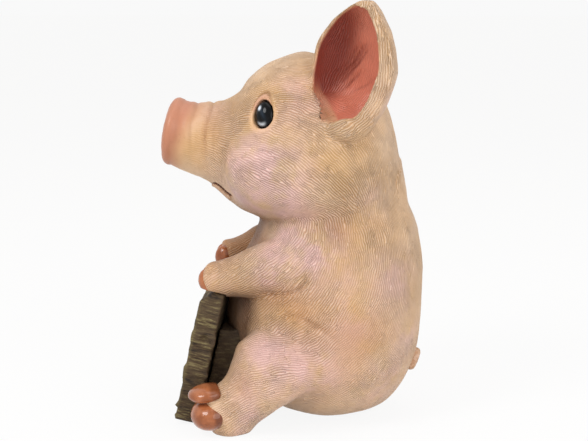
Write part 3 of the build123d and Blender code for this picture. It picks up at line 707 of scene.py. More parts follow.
# hair strokes: directions on the left half, each for one casting
strokes = {
    "reach": 17.0, "elsewhere": 0.08,  # share of a direction on the other castings
    "directions": {
        "head": [
            ((10, -58, 201), (0, 1, 0.05)), ((24, -55, 178), (0, 1, -0.1)),
            ((20, -45, 152), (0, 0.9, -0.5)), ((12, -20, 222), (0, 0.8, 0.6)),
            ((34, -22, 214), (0.2, 0.9, 0.3)), ((46, 2, 208), (0, 0.85, -0.3)), ((20, 20, 238), (0, 1, 0)),
            ((20, 56, 215), (0, 0.5, -0.9)), ((44, 52, 196), (0, 0.45, -0.9)),
            ((40, -30, 178), (0, 0.95, -0.15)), ((46, -22, 164), (0, 0.9, -0.45)),
            ((54, -2, 160), (0, 0.85, -0.53)), ((46, -6, 138), (0, 0.92, -0.38)),
            ((54, 22, 148), (0, 0.8, -0.62)), ((56, 18, 180), (0, 0.8, -0.55)),
            ((50, 40, 165), (0, 0.5, -0.87)), ((10, 68, 165), (0, 0.1, -1)),
            ((20, -20, 130), (0, 0.95, -0.2)),
        ],
        "ear": [
            ((44, 60, 200), (0, 0.3, 1)), ((50, 55, 235), (0, -0.1, 1)), ((36, 12, 225), (0, 0.25, 1)),
            ((50, 30, 185), (0.2, 0.7, 0.3)),
        ],
        "torso": [
            ((50, 42, 135), (0, 0.4, -0.9)), ((54, 36, 115), (0, 0.15, -1)),
            ((20, 76, 125), (0, 0.05, -1)), ((58, 28, 88), (0, -0.62, -0.78)),
            ((42, 62, 85), (0, -0.42, -0.9)), ((15, 82, 62), (0, -0.15, -1)),
            ((55, 46, 48), (0, -0.7, -0.62)), ((40, 62, 22), (0, -0.8, -0.5)),
            ((52, -4, 84), (0, -0.75, -0.6)), ((16, -38, 60), (0, -0.1, -1)),
            ((16, -8, 120), (0, -0.2, -1)), ((50, 20, 100), (0, -0.45, -0.9)),
        ],
        "foreleg": [
            ((52, 18, 108), (0, -0.62, -0.78)), ((52, -10, 100), (0, -0.7, -0.7)),
            ((44, -38, 94), (0, -0.85, -0.55)), ((36, -16, 116), (0.5, -0.85, -0.2)),
        ],
        "hindLeg": [
            ((60, 22, 48), (0, -1, 0.2)), ((64, 0, 48), (0, -1, 0.08)), ((64, -16, 54), (0, -0.97, -0.2)),
            ((66, -28, 34), (0, -0.75, -0.65)), ((52, -4, 73), (0.35, -0.9, 0.2)),
            ((64, -30, 14), (0, -0.85, -0.5)), ((60, 4, 28), (0, -0.95, -0.3)),
            ((40, -26, 50), (0, -0.9, -0.3)),
        ],
    },
}

flow = np.zeros((len(points), 3))
for name, directions in strokes["directions"].items():
    share = np.where(owner == castings.index(name), 1.0, strokes["elsewhere"])
    for place, direction in directions:
        weight = (hillAt(mirrored, place, strokes["reach"]) + 1e-6) * share
        flow += weight[:, None] * unit(direction)
flow[:, 0] *= np.sign(points[:, 0])
flow -= normals * (flow * normals).sum(1)[:, None]
for combing in range(12):
    flow = flow / np.maximum(np.linalg.norm(flow, axis=1), 1e-9)[:, None]
    flow = flow + 0.25 * spread(flow, edges)
    flow -= normals * (flow * normals).sum(1)[:, None]
flow = flow / np.maximum(np.linalg.norm(flow, axis=1), 1e-9)[:, None]
print("hair combed")

# paint marks, one number for each point of the clay
marks = {
    # middle, reach, strength
    "blush": [
        (50, -16, 163, 17, 1), (44, -30, 150, 12, 0.7), (54, -4, 130, 16, 0.9), (50, 10, 112, 11, 0.8),
        (52, -4, 104, 9, 0.9), (40, -44, 92, 7, 0.7), (56, -14, 98, 6, 0.6), (57, 28, 100, 12, 0.5),
        (40, 66, 95, 11, 0.8), (30, 74, 60, 10, 0.6), (54, 40, 70, 11, 0.6), (60, 20, 40, 14, 0.7),
        (64, -8, 56, 13, 0.5), (62, -20, 30, 10, 0.5), (44, 55, 140, 9, 0.5), (50, 60, 205, 9, 0.5),
        (40, 20, 200, 7, 0.4), (14, -50, 196, 9, 0.4), (38, 60, 30, 13, 0.6), (56, 26, 122, 8, 0.5),
        (62, -13, 55, 12, 0.5), (64, 9, 44, 12, 0.3), (62, -20, 8, 12, 0.7), (40, 4, 206, 12, 0.6),
        (57, -4, 160, 11, 0.5),
    ],
    "ochre": [
        (34, -22, 200, 13, 0.8), (26, -30, 192, 11, 0.8), (46, 0, 212, 11, 0.8), (40, 10, 222, 14, 0.6),
        (50, 26, 170, 13, 0.7), (54, 24, 150, 10, 0.8), (46, 44, 160, 15, 0.9), (24, 68, 160, 16, 0.7),
        (50, 48, 122, 14, 0.8), (28, 78, 110, 16, 0.8), (20, 82, 80, 16, 0.7), (56, 14, 84, 12, 0.6),
        (58, 4, 70, 10, 0.7), (62, -36, 22, 8, 1.1), (56, 42, 56, 12, 0.6), (48, -28, 96, 8, 0.6),
        (30, -34, 140, 9, 0.6), (56, 20, 62, 9, 0.6), (30, 70, 34, 14, 0.8), (20, -50, 172, 14, 0.7),
        (24, -40, 186, 10, 0.6), (18, -60, 166, 9, 0.6), (44, -2, 196, 12, 0.7), (40, 20, 124, 12, 0.8),
        (26, -36, 104, 12, 1.6), (24, -48, 98, 9, 1.4), (64, -36, 26, 6, 1.2), (10, -54, 200, 12, 0.9),
        (6, -34, 206, 12, 0.6), (52, 46, 62, 18, 0.8), (57, 9, 79, 9, 0.6), (64, -26, 32, 10, 0.6),
    ],
    "smooth": [
        (52, 46, 62, 17, 0.55), (56, 8, 79, 8, 0.45), (62, -24, 30, 9, 0.3), (52, 40, 98, 10, 0.3),
    ],
    # a warmer brown tone, and painted shade under the jowl, under the elbows and on the inner side of the
    # forelegs
    "tan": [
        (22, -44, 190, 12, 0.35), (26, -44, 164, 11, 0.35), (44, 8, 203, 11, 0.3), (47, 30, 128, 9, 0.5),
        (50, -10, 89, 7, 0.4), (53, 45, 62, 15, 0.5), (57, 9, 79, 8, 0.5), (58, 28, 78, 22, 0.2),
        (64, -26, 32, 9, 0.35), (26, -34, 104, 12, 1.1), (24, -50, 98, 9, 1), (16, -22, 116, 13, 1.1),
        (40, -20, 84, 9, 0.5), (50, -2, 84, 8, 0.4), (20, -34, 126, 10, 0.5), (56, 40, 142, 9, 0.2),
        (4, 80, 40, 10, 0.3),
    ],
    # painted shade, deep brown, behind the board, between the haunches, under the arms and under the chin
    "airbrush": [
        (0, -44, 60, 16, 1), (24, -38, 66, 14, 1), (42, -28, 74, 9, 0.7), (30, -30, 84, 8, 0.7),
        (36, -34, 50, 10, 0.9), (20, -40, 30, 14, 1), (18, -22, 102, 11, 0.15), (22, -40, 97, 9, 0.2),
        (22, -10, 116, 10, 0.4), (0, -30, 116, 14, 0.5), (38, -48, 40, 8, 0.6), (6, -54, 200, 12, 0.15),
    ],
}


def spots(name):
    total = sum(strength * hillAt(mirrored, middle, reach) for *middle, reach, strength in marks[name])
    return np.clip(total, 0, 1)


d = mirrored - mouthMiddle
s = d @ slitAlong
h = mouthHeight(s, d @ slitUp)
onNose = owner == castings.index("nose")
inSlit = fade(-np.abs(h), -1.15, -0.3) * fade(mouthEnds(s), -1.0, 2.5) * onHead
lowerLip = np.exp(-(((h + 3.0) / 2.2) ** 2)) * fade(mouthEnds(s), -2.0, 4.0) * onHead
forefoot = armBody.local(x, y, z)[2]
hindfoot = thighBody.local(x, y, z)[2]
cuffEdge = {"foreleg": (62.0, 70.0), "hindLeg": (56.0, 64.0)}  # along the leg, where its cuff starts
cuff = np.maximum(
    fade(forefoot, *cuffEdge["foreleg"]) * (owner == castings.index("foreleg")),
    fade(hindfoot, *cuffEdge["hindLeg"]) * (owner == castings.index("hindLeg")),
)
snoutFront = (1 - fade(headAlong - 0.28 * np.clip(headRise, -8, 22), -1.0, 13.0)) * (onHead | onNose)
calm = np.clip(snoutFront * 0.8 + (1 - fade(fromEye, 0.5, 4.0)) + 0.7 * lowerLip + 0.5 * cuff, 0, 1)
calm = np.clip(calm + 0.75 * (1 - fade(headAlong, 14.0, 36.0)) * onHead + onNose + spots("smooth"), 0, 1)
frontEdge = 27.0 - 24.0 * np.exp(-(earUp - 11.8) / 8.8)  # the pink narrows down to the root of the ear
pastEdge = earSide - frontEdge
edgePink = 0.62 * (1 - fade(pastEdge, -1.5, 1.5)) + 0.38 * (1 - fade(pastEdge, 1.0, 9.0))
inner = inEar * fade(earUp, 9.0, 11.5) * (1 - fade(earOpen, 0.5, 3.5)) * edgePink
rootOfEar = np.exp(-(((earSide - 15.0) / 7.0) ** 2) - ((earUp - 17.0) / 9.0) ** 2)
recess = recess * (1 - 0.85 * rootOfEar)
paint = {
    "blush": spots("blush"),
    "ochre": np.clip(spots("ochre") + 0.6 * cuff, 0, 1),
    # painted shade in the hollows, in the folds and in the crease above the eye
    "recess": np.maximum(recess * (1 - 0.6 * inEar), np.clip(0.55 * foldMask + 0.7 * lidCrease, 0, 1)),
    "shade": shade * (1 - 0.8 * inEar),
    "earPink": inner,
    "earDark": inner * fade(earSide + 0.1 * (earUp - 40), 6.0, 19.0) * (0.5 + 0.5 * fade(earUp, 11.0, 25.0)),
    "earGroove": grooveMask,
    "lip": inSlit,
    "lipPink": np.clip(0.6 * fade(archHeight - fromEye, 0.2, 1.4) * lidArch, 0, 1),
    "nosePink": snoutFront,
    "inNostril": fade(-nostrilField(x, y, z), -0.6, 0.8) * onNose,
    "hairDepth": (1 - calm) * (1 - 0.55 * inEar),
    "hairAcross": np.cross(normals, flow),
    "ring": np.clip(ringMask, 0, 1),
    # the tan below the lower lip is painted shade that darkens the lit edge of the lip
    "airbrush": spots("airbrush"), "tan": np.clip(spots("tan") + 0.7 * lowerLip, 0, 1),
}
print("paint marked")


# finishes
def tint(red, green, blue):
    # a colour as the eye sees it, 0 to 255, as the shader wants it
    shares = [value / 255 for value in (red, green, blue)]
    return (*[s / 12.92 if s <= 0.04045 else ((s + 0.055) / 1.055) ** 2.4 for s in shares], 1.0)


class Wire:
    # one output of a node; sums and products of it add Math nodes
    def __init__(self, paintBox, socket):
        self.paintBox, self.socket = paintBox, socket

    def maths(self, operation, a, b):
        return self.paintBox.add("ShaderNodeMath", {"operation": operation}, {0: a, 1: b})

    def __add__(self, other):
        return self.maths("ADD", self, other)

    def __radd__(self, other):
        return self.maths("ADD", other, self)

    def __sub__(self, other):
        return self.maths("SUBTRACT", self, other)

    def __rsub__(self, other):
        return self.maths("SUBTRACT", other, self)

    def __mul__(self, other):
        return self.maths("MULTIPLY", self, other)

    def __rmul__(self, other):
        return self.maths("MULTIPLY", other, self)

    def __truediv__(self, other):
        return self.maths("DIVIDE", self, other)

    def __rtruediv__(self, other):
        return self.maths("DIVIDE", other, self)


class PaintBox:
    # a material or a world, and the few ways in which its nodes are made
    def __init__(self, name, home=bpy.data.materials):
        self.owner = home.new(name)
        self.owner.use_nodes = True
        self.tree = self.owner.node_tree
        self.tree.nodes.clear()

    def add(self, kind, settings=None, inputs=None, output=0):
        node = self.tree.nodes.new(kind)
        for key, value in (settings or {}).items():
            if key == "stops":
                while len(node.color_ramp.elements) < len(value):
                    node.color_ramp.elements.new(0.5)
                for stop, (place, colour) in zip(node.color_ramp.elements, value):
                    stop.position, stop.color = place, colour
            else:
                setattr(node, key, value)
        for key, value in (inputs or {}).items():
            if isinstance(value, Wire):
                self.tree.links.new(value.socket, node.inputs[key])
            else:
                node.inputs[key].default_value = value
        return None if output is None else Wire(self, node.outputs[output])

    def mark(self, name, output="Fac"):
        return self.add("ShaderNodeAttribute", {"attribute_name": name}, output=output)

    def place(self):
        return self.add("ShaderNodeNewGeometry", output="Position")

    def shownRays(self):
        # above 0 for what the camera sees directly, in a gloss or through glass
        rays = ("Is Camera Ray", "Is Glossy Ray", "Is Transmission Ray")
        camera, gloss, through = [self.add("ShaderNodeLightPath", output=ray) for ray in rays]
        return camera + gloss + through

    def noise(self, vector, scale, detail=3.0, rough=0.55, output=0):
        values = {"Vector": vector, "Scale": scale, "Detail": detail, "Roughness": rough}
        return self.add("ShaderNodeTexNoise", None, values, output)

    def step(self, value, low, high, fromTo=(0.0, 1.0)):
        values = {"Value": value, "From Min": low, "From Max": high, "To Min": fromTo[0], "To Max": fromTo[1]}
        return self.add("ShaderNodeMapRange", {"interpolation_type": "SMOOTHSTEP"}, values)

    def blend(self, factor, a, b):
        return self.add("ShaderNodeMix", {"data_type": "RGBA"}, {0: factor, 6: a, 7: b}, 2)

    def layered(self, colour, values, layers):
        # one coat of paint for each mark
        for name, strength, paintName in values[layers]:
            colour = self.blend(self.mark(name) * strength, colour, values[paintName])
        return colour

    def shifted(self, operation, a, b):
        # Vector Math; the second value of SCALE has a socket of its own
        key = "Scale" if operation == "SCALE" else 1
        return self.add("ShaderNodeVectorMath", {"operation": operation}, {0: a, key: b})

    def vector(self, a, b, c=0.0):
        return self.add("ShaderNodeCombineXYZ", None, {0: a, 1: b, 2: c})

    def bump(self, height, depth, under=None, strength=1.0):
        values = {"Height": height, "Distance": depth, "Strength": strength}
        if under is not None:
            values["Normal"] = under
        return self.add("ShaderNodeBump", None, values)

    def finish(self, **sockets):
        values = {key.replace("_", " "): value for key, value in sockets.items()}
        shader = self.add("ShaderNodeBsdfPrincipled", None, values)
        self.add("ShaderNodeOutputMaterial", None, {"Surface": shader}, None)
        return self.owner


skinFinish = {
    "cream": tint(219, 178, 132), "light": tint(234, 199, 162), "ochre": tint(206, 163, 108),
    "blush": tint(236, 192, 194), "glaze": tint(150, 98, 58), "deep": tint(84, 52, 30),
    "tan": tint(178, 118, 66), "ridge": tint(247, 224, 208), "groove": tint(150, 98, 62),
    "earPink": tint(214, 124, 100), "earRed": tint(132, 46, 38), "nose": tint(186, 120, 94),
    "nostril": tint(120, 56, 44), "lip": tint(112, 58, 38), "lipPink": tint(214, 150, 136),
    "strokeLength": 6.5, "strokesEach": 4.7,  # one stroke field in millimetres, grooves in it
    "strokeDepth": 0.0008, "waver": 0.0015,  # in metres
    "roughness": 0.42, "specular": 0.42,
    # coats of paint below and above the strokes, those above mostly painted shade: mark, strength, colour
    "under": [("tan", 0.72, "tan"), ("nosePink", 0.9, "nose"), ("lipPink", 0.7, "lipPink")],
    "over": [
        ("ring", 0.38, "glaze"), ("recess", 0.8, "glaze"), ("shade", 0.5, "glaze"),
        ("airbrush", 0.88, "deep"), ("lip", 0.92, "lip"), ("inNostril", 0.85, "nostril"),
    ],
}


def combedStrokes(box, place, values):
    # parallel ridges and grooves along the hair: 0 in a groove, 1 on a ridge
    turn = box.mark("hairAcross", "Vector")
    drift = box.shifted("SUBTRACT", box.noise(place, 85.0, 2.0, output="Color"), (0.5, 0.5, 0.5))
    combed = box.shifted("ADD", place, box.shifted("SCALE", drift, 2 * values["waver"]))
    saw = box.add("ShaderNodeTexGabor", {"gabor_type": "3D"}, {
        "Vector": combed, "Scale": 1000.0 / values["strokeLength"], "Frequency": values["strokesEach"],
        "Anisotropy": 1.0, 5: turn,
    }, "Phase")
    return box.add("ShaderNodeMath", {"operation": "PINGPONG"}, {0: saw * 2.0, 1: 1.0})


def skinMaterial():
    box, values = PaintBox("paintedPigletSkin"), skinFinish
    place = box.place()
    wave = combedStrokes(box, place, values)
    patchy = box.step(box.noise(place, 42.0, 3.0), 0.34, 0.62, (0.58, 1.0)) * box.mark("hairDepth")
    groove = (1.0 - box.step(wave, 0.05, 0.5)) * patchy
    ridge = box.step(wave, 0.52, 0.92) * patchy
    # large colour fields
    cloud = box.noise(place, 22.0, 4.0, 0.6)
    blush = box.mark("blush") * box.step(box.noise(place, 60.0, 4.0), 0.3, 0.62)
    ochre = box.mark("ochre") * box.step(box.noise(place, 50.0, 4.0), 0.28, 0.66)
    colour = box.blend(box.step(cloud, 0.35, 0.68), values["cream"], values["light"])
    colour = box.blend(ochre * 0.75, colour, values["ochre"])
    colour = box.blend(blush * 0.8, colour, values["blush"])
    colour = box.layered(colour, values, "under")
    # strokes: painted highlight on the ridges, painted shade in the grooves
    speck = box.step(box.noise(place, 420.0, 2.0, 0.6), 0.56, 0.72)
    for factor, name in ((ridge * 0.5, "ridge"), (groove * 0.51, "groove"), (speck * 0.16, "glaze")):
        colour = box.blend(factor, colour, values[name])
    # ear inside, with painted shade in its grooves and in the hair grooves
    pinkEar = box.blend(box.mark("earDark"), values["earPink"], values["earRed"])
    for factor in (box.mark("earGroove") * 0.95, groove * 0.55):
        pinkEar = box.blend(factor, pinkEar, values["earRed"])
    colour = box.blend(box.mark("earPink") * 0.95, colour, pinkEar)
    # painted shade in the snout rings, the creases and the hollows, deep brown painted shade behind the board
    # and under the arms and chin, then the dark mouth slit and nostrils
    colour = box.layered(colour, values, "over")
    bump = box.bump(box.noise(place, 260.0, 3.0), 0.00025, strength=0.35)
    bump = box.bump(wave * patchy, values["strokeDepth"], bump)
    roughness = values["roughness"] + (box.noise(place, 70.0, 3.0) - 0.5) * 0.16 + groove * 0.12
    return box.finish(
        Base_Color=colour, Roughness=roughness, Normal=bump, Specular_IOR_Level=values["specular"],
    )


# pieces, each in place of a casting of the frame
def makePiece(name, node, material, places, faces, marksOf, pointNormals=None):
    mesh = bpy.data.meshes.new(name)
    mesh.vertices.add(len(places))
    mesh.vertices.foreach_set("co", (places * 0.001).astype(np.float32).ravel())
    mesh.loops.add(faces.size)
    mesh.loops.foreach_set("vertex_index", faces.astype(np.int32).ravel())
    mesh.polygons.add(len(faces))
    mesh.polygons.foreach_set("loop_start", np.arange(0, faces.size, faces.shape[1], dtype=np.int32))
    mesh.update(calc_edges=True)
    mesh.validate()
    mesh.shade_smooth()
    if pointNormals is not None:
        mesh.normals_split_custom_set_from_vertices(pointNormals.astype(np.float32).tolist())
    for markName, values in marksOf.items():
        isVector = values.ndim == 2
        layer = mesh.attributes.new(markName, "FLOAT_VECTOR" if isVector else "FLOAT", "POINT")
        values = np.ascontiguousarray(values, dtype=np.float32)
        layer.data.foreach_set("vector" if isVector else "value", values.ravel())
    mesh.materials.append(material)
    piece = bpy.data.objects.new(name, mesh)
    bpy.context.scene.collection.objects.link(piece)
    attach(piece, "root")
    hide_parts(node)


sides = (("left", 1), ("right", -1))


def mirroredPair(name, node, material, places, faces, marksOf):
    for side, sign in sides:
        turnedFaces = faces if sign > 0 else faces[:, ::-1]
        sidePlaces = places * np.array([sign, 1, 1])
        makePiece(side + name, f"{side}_{node}", material, sidePlaces, turnedFaces, marksOf)


# casting: piece, node, material slot
skinPieces = {
    "torso": ("pigletTorso", "torso_shell", "skin"), "head": ("pigletHead", "head_shell", "skin"),
    "ear": ("Ear", "ear", "ear"), "foreleg": ("Foreleg", "foreleg", "skin"),
    "hindLeg": ("HindLeg", "hind_leg", "skin"), "nose": ("pigletNose", "nose_pad", "nose"),
}
skin = skinMaterial()
centreX = points[quads][:, :, 0].mean(1)
for k, casting in enumerate(castings):
    name, node, slot = skinPieces[casting]
    groups = [(name, node, faceOwner == k)]
    if casting in ("ear", "foreleg", "hindLeg"):
        groups = [
            (side + name, f"{side}_{node}", (faceOwner == k) & (centreX * sign > 0)) for side, sign in sides
        ]
    for name, node, chosen in groups:
        used, faces = np.unique(quads[chosen], return_inverse=True)
        marksOf = {key: values[used] for key, values in paint.items()}
        makePiece(name, node, skin, points[used], faces.reshape(-1, 4), marksOf, normals[used])
print("skin pieces made and painted")


hoofFinish = {
    "brown": tint(146, 80, 42), "salmon": tint(182, 112, 72), "dark": tint(88, 42, 22), "roughness": 0.13,
    "coat": 0.3, "coatRoughness": 0.06, "specular": 0.3,
}


def hoofMaterial():
    box, values = PaintBox("glossyHoofEnamel"), hoofFinish
    place = box.place()
    colour = box.blend(box.step(box.noise(place, 90.0, 3.0), 0.36, 0.66), values["brown"], values["salmon"])
    speck = box.step(box.noise(place, 700.0, 2.0), 0.62, 0.72)
    # painted shade in the cleft between the toes; darker towards the root, and dark specks
    for factor in (box.step(box.mark("toRoot"), 0.0, 1.0) * 0.55, box.mark("cleft") * 0.8, speck * 0.25):
        colour = box.blend(factor, colour, values["dark"])
    bump = box.bump(box.noise(place, 160.0, 3.0), 0.0004, strength=0.4)
    roughness = values["roughness"] + box.noise(place, 120.0, 2.0) * 0.12
    return box.finish(
        Base_Color=colour, Roughness=roughness, Normal=bump, Coat_Weight=values["coat"],
        Coat_Roughness=values["coatRoughness"], Specular_IOR_Level=values["specular"],
    )


# the glint, the low light and the bluish streak are painted reflections
eyeFinish = {
    "black": tint(3, 4, 5), "rim": tint(30, 24, 22), "glint": tint(226, 234, 244), "blue": tint(74, 92, 112),
    "roughness": 0.07, "specular": 0.16, "lights": [("irisStreak", 0.25, "blue"), ("glint", 1.0, "glint")],
}


def eyeMaterial():
    box, values = PaintBox("glossyEyeEnamel"), eyeFinish
    place = box.place()
    cloud = box.step(box.noise(place, 300.0, 3.0), 0.4, 0.7)
    colour = box.layered(box.blend(cloud * 0.3, values["black"], values["rim"]), values, "lights")
    roughness = values["roughness"] + box.noise(place, 200.0, 2.0) * 0.06
    return box.finish(Base_Color=colour, Roughness=roughness, Specular_IOR_Level=values["specular"])


boardFinish = {
    "dark": tint(34, 24, 17), "brown": tint(78, 61, 43), "olive": tint(134, 121, 82),
    "pale": tint(160, 149, 108), "grey": tint(88, 72, 50), "roughness": 0.62, "specular": 0.35,
    "stops": [(0.4, "dark"), (0.47, "brown"), (0.54, "grey"), (0.6, "olive"), (0.7, "pale")],
    "coats": [("boardBack", 0.7, "brown"), ("boardGroove", 0.85, "dark"), ("boardWear", 0.45, "olive")],
}


def boardMaterial():
    box, values = PaintBox("roughBoardPaint"), boardFinish
    wide, tall, thick = box.mark("boardAcross"), box.mark("boardUp"), box.mark("boardOut")
    side = box.mark("boardSide")
    grain = box.noise(box.vector(wide / 26.0, tall / 1.5, thick / 7.0), 1.0, 5.0, 0.62)
    saw = box.noise(box.vector(thick / 16.0, tall / 1.9, wide / 30.0), 1.0, 5.0, 0.76)
    lines = grain * (1.0 - side) + saw * side
    broad = box.noise(box.vector(wide / 40.0, tall / 7.0, thick / 12.0), 1.0, 3.0)
    stops = [(place, values[name]) for place, name in values["stops"]]
    colour = box.add("ShaderNodeValToRGB", {"stops": stops}, {0: lines}, "Color")
    colour = box.blend(box.step(broad, 0.35, 0.65) * 0.35, colour, values["grey"])
    colour = box.layered(colour, values, "coats")
    place = box.vector(wide, tall, thick)
    bump = box.bump(lines, 0.0014, strength=0.9)
    bump = box.bump(box.noise(place, 0.9, 3.0), 0.0003, bump, 0.5)
    roughness = values["roughness"] + box.noise(place, 0.3, 2.0) * 0.2
    return box.finish(
        Base_Color=colour, Roughness=roughness, Normal=bump, Specular_IOR_Level=values["specular"],
    )


# dulled by glaze and glue
steelFinish = {"brown": tint(74, 62, 52), "bare": tint(104, 90, 76), "roughness": 0.5}


def steelMaterial():
    box, values = PaintBox("plainSteelPin"), steelFinish
    scratch = box.noise(box.place(), 900.0, 3.0)
    colour = box.blend(scratch, values["brown"], values["bare"])
    return box.finish(Base_Color=colour, Metallic=1.0, Roughness=values["roughness"] + scratch * 0.14)


stopperFinish = {"grey": tint(196, 192, 184), "pale": tint(214, 210, 202), "roughness": 0.66}


def stopperMaterial():
    box, values = PaintBox("softStopperRubber"), stopperFinish
    grain = box.noise(box.place(), 320.0, 3.0)
    colour = box.blend(grain, values["grey"], values["pale"])
    bump = box.bump(grain, 0.0002, strength=0.4)
    return box.finish(Base_Color=colour, Roughness=values["roughness"] + grain * 0.1, Normal=bump)


# smaller castings, each in a fine block of its own
def fineBlock(low, high, step, field):
    lines = [np.arange(low[k], high[k] + step / 2, step, dtype=np.float32) for k in range(3)]
    values = field(*np.meshgrid(*lines, indexing="ij"))
    places, faces = quadsOf(np.asarray(values) / step, low, step)
    lace = edgesOf(faces)
    for smoothing in range(3):
        places = relaxed(places, lace, 0.5)
    return places, faces


toe = {
    "shares": [
        (0.0, 0.82), (0.16, 0.95), (0.4, 1.0), (0.66, 0.9), (0.85, 0.68), (0.95, 0.43), (1.0, 0.2),
    ],
    "root": 5.0, "grain": 0.5, "foreLength": 6.5, "foreHalf": (5.1, 8.2), "foreSpread": 4.8, "foreDrop": 1.2,
    # half width, half height, from the middle
    "hindLength": 13.5, "hindUpper": (11.2, 5.2, 9.4), "hindLower": (14.0, 9.6, 4.2),
    "hindRise": 23.0, "hindShift": 6.44, "foreReach": 17, "hindReach": 24,
}


def toeBody(origin, across, along, length, halfWidth, halfHeight):
    shares = [(t, 0.0, value, value, value) for t, value in toe["shares"]]
    return EggBody(origin, across, along, (length + toe["root"], halfWidth, halfHeight), shares)


def hoofPair(name, node, toes, middle, reach, seatSide):
    def field(x, y, z):
        return np.maximum(softUnion(toes[0].field(x, y, z), toes[1].field(x, y, z), 1.0), -z)

    places, faces = fineBlock(middle - reach, middle + reach, toe["grain"], field)
    # what would cut into the board is pushed out of it
    up, out = (places - boardFoot) @ boardUp, (places - boardFoot) @ boardForward
    gap = board["clearance"]
    inside = np.minimum(board["width"] / 2 + gap - places[:, 0], board["length"] + gap - up)
    inside = np.minimum(inside, out + gap)
    places = places + np.where(inside > 0, inside, 0)[:, None] * seatSide
    a, b = [body.field(*places.T) for body in toes]
    t = [body.local(*places.T)[2] / body.length for body in toes]
    mirroredPair(name, node, hoof, places, faces, {
        "cleft": fade(-np.abs(a - b), -1.6, -0.1), "toRoot": 1 - fade(np.maximum(t[0], t[1]), 0.18, 0.45),
    })


hoof = hoofMaterial()
foreRoot = foreleg["length"] - toe["root"]
foreToes = [
    toeBody(
        armBody.place(side * toe["foreSpread"], -toe["foreDrop"], foreRoot), armBody.across, armBody.along,
        toe["foreLength"], *toe["foreHalf"],
    )
    for side in (-1, 1)
]
foreMiddle = armBody.place(0, 0, foreleg["length"])
hoofPair("ForeHoof", "fore_hoof", foreToes, foreMiddle, toe["foreReach"], boardUp)

rise = math.radians(toe["hindRise"])
hindAlong = thighBody.along * math.cos(rise) + thighBody.above * math.sin(rise)
hindAbove = thighBody.above * math.cos(rise) - thighBody.along * math.sin(rise)
hindRoot = thighBody.place(0, toe["hindShift"], hindLeg["length"]) - hindAlong * toe["root"]
hindToes = [
    toeBody(hindRoot + hindAbove * sign * apart, thighBody.across, hindAlong, toe["hindLength"], *half)
    for sign, (*half, apart) in ((1, toe["hindUpper"]), (-1, toe["hindLower"]))
]
hindMiddle = thighBody.place(0, toe["hindShift"], hindLeg["length"] + 3)
hoofPair("HindHoof", "hind_hoof", hindToes, hindMiddle, toe["hindReach"], np.array([1.0, 0, 0]))
print("hooves made")

dome = {
    "rings": 26, "slices": 56, "bow": 0.62,
    # painted reflections in the eye: across, up, half width, half height
    "window": (-1.4, 3.6, 1.3, 1.5), "streak": (0.8, 0.5, 1.3, 4.2), "streakLean": 0.35,
    "lowLight": (0.7, 0.09, 0.75),  # painted reflection low in the eye: share of the eye, thickness, strength
}


def tubeFaces(rings, around):
    start = np.arange(rings - 1)[:, None] * around
    a = start + np.arange(around)
    b = start + (np.arange(around) + 1) % around
    return np.stack([a, b, b + around, a + around], -1).reshape(-1, 4)


def makeEyes():
    bow = np.linspace(0, math.pi * dome["bow"], dome["rings"])[:, None]
    turn = np.linspace(0, 2 * math.pi, dome["slices"], endpoint=False)
    out = np.cos(bow) * np.ones(dome["slices"])
    tall = np.sin(bow) * np.sin(turn)
    wide = np.sin(bow) * np.cos(turn) * (1 - eye["pear"] * tall)
    local = np.stack([wide * eye["halfWidth"], tall * eye["halfHeight"], out * eye["thickness"]], -1)
    local = local.reshape(-1, 3)
    places = eyePlace + local @ np.array(eyeAxes)
    faces = tubeFaces(dome["rings"], dome["slices"])[:, [0, 3, 2, 1]]
    across, up = local[:, 0], local[:, 1]
    a, b, halfWidth, halfHeight = dome["window"]
    glint = np.exp(-((((across - a) / halfWidth) ** 2 + ((up - b) / halfHeight) ** 2) ** 2))
    share, thickness, strength = dome["lowLight"]
    ring = np.sqrt((across / 7.4) ** 2 + (up / 9.0) ** 2) - share
    low = np.exp(-((ring / thickness) ** 2)) * fade(-up, 3.0, 6.0) * fade(-np.abs(across + 1.0), -4.0, -1.0)
    a, b, halfWidth, halfHeight = dome["streak"]
    lean = across - a + dome["streakLean"] * up
    streak = np.exp(-((lean / halfWidth) ** 2) - (((up - b) / halfHeight) ** 2))
    marksOf = {"glint": np.clip(glint + strength * low, 0, 1), "irisStreak": streak}
    mirroredPair("Eye", "eye", eyeMaterial(), places, faces, marksOf)


makeEyes()
print("eyes made")

curl = {
    "radius": 5.0, "tube": 2.7, "turn": 300.0, "middle": (77.92, 34.0), "tilt": 21.0,
    "flat": 1.6, "tip": 0.55, "rings": 60, "around": 20, "endBows": (0.45, 0.8, 0.98),
}


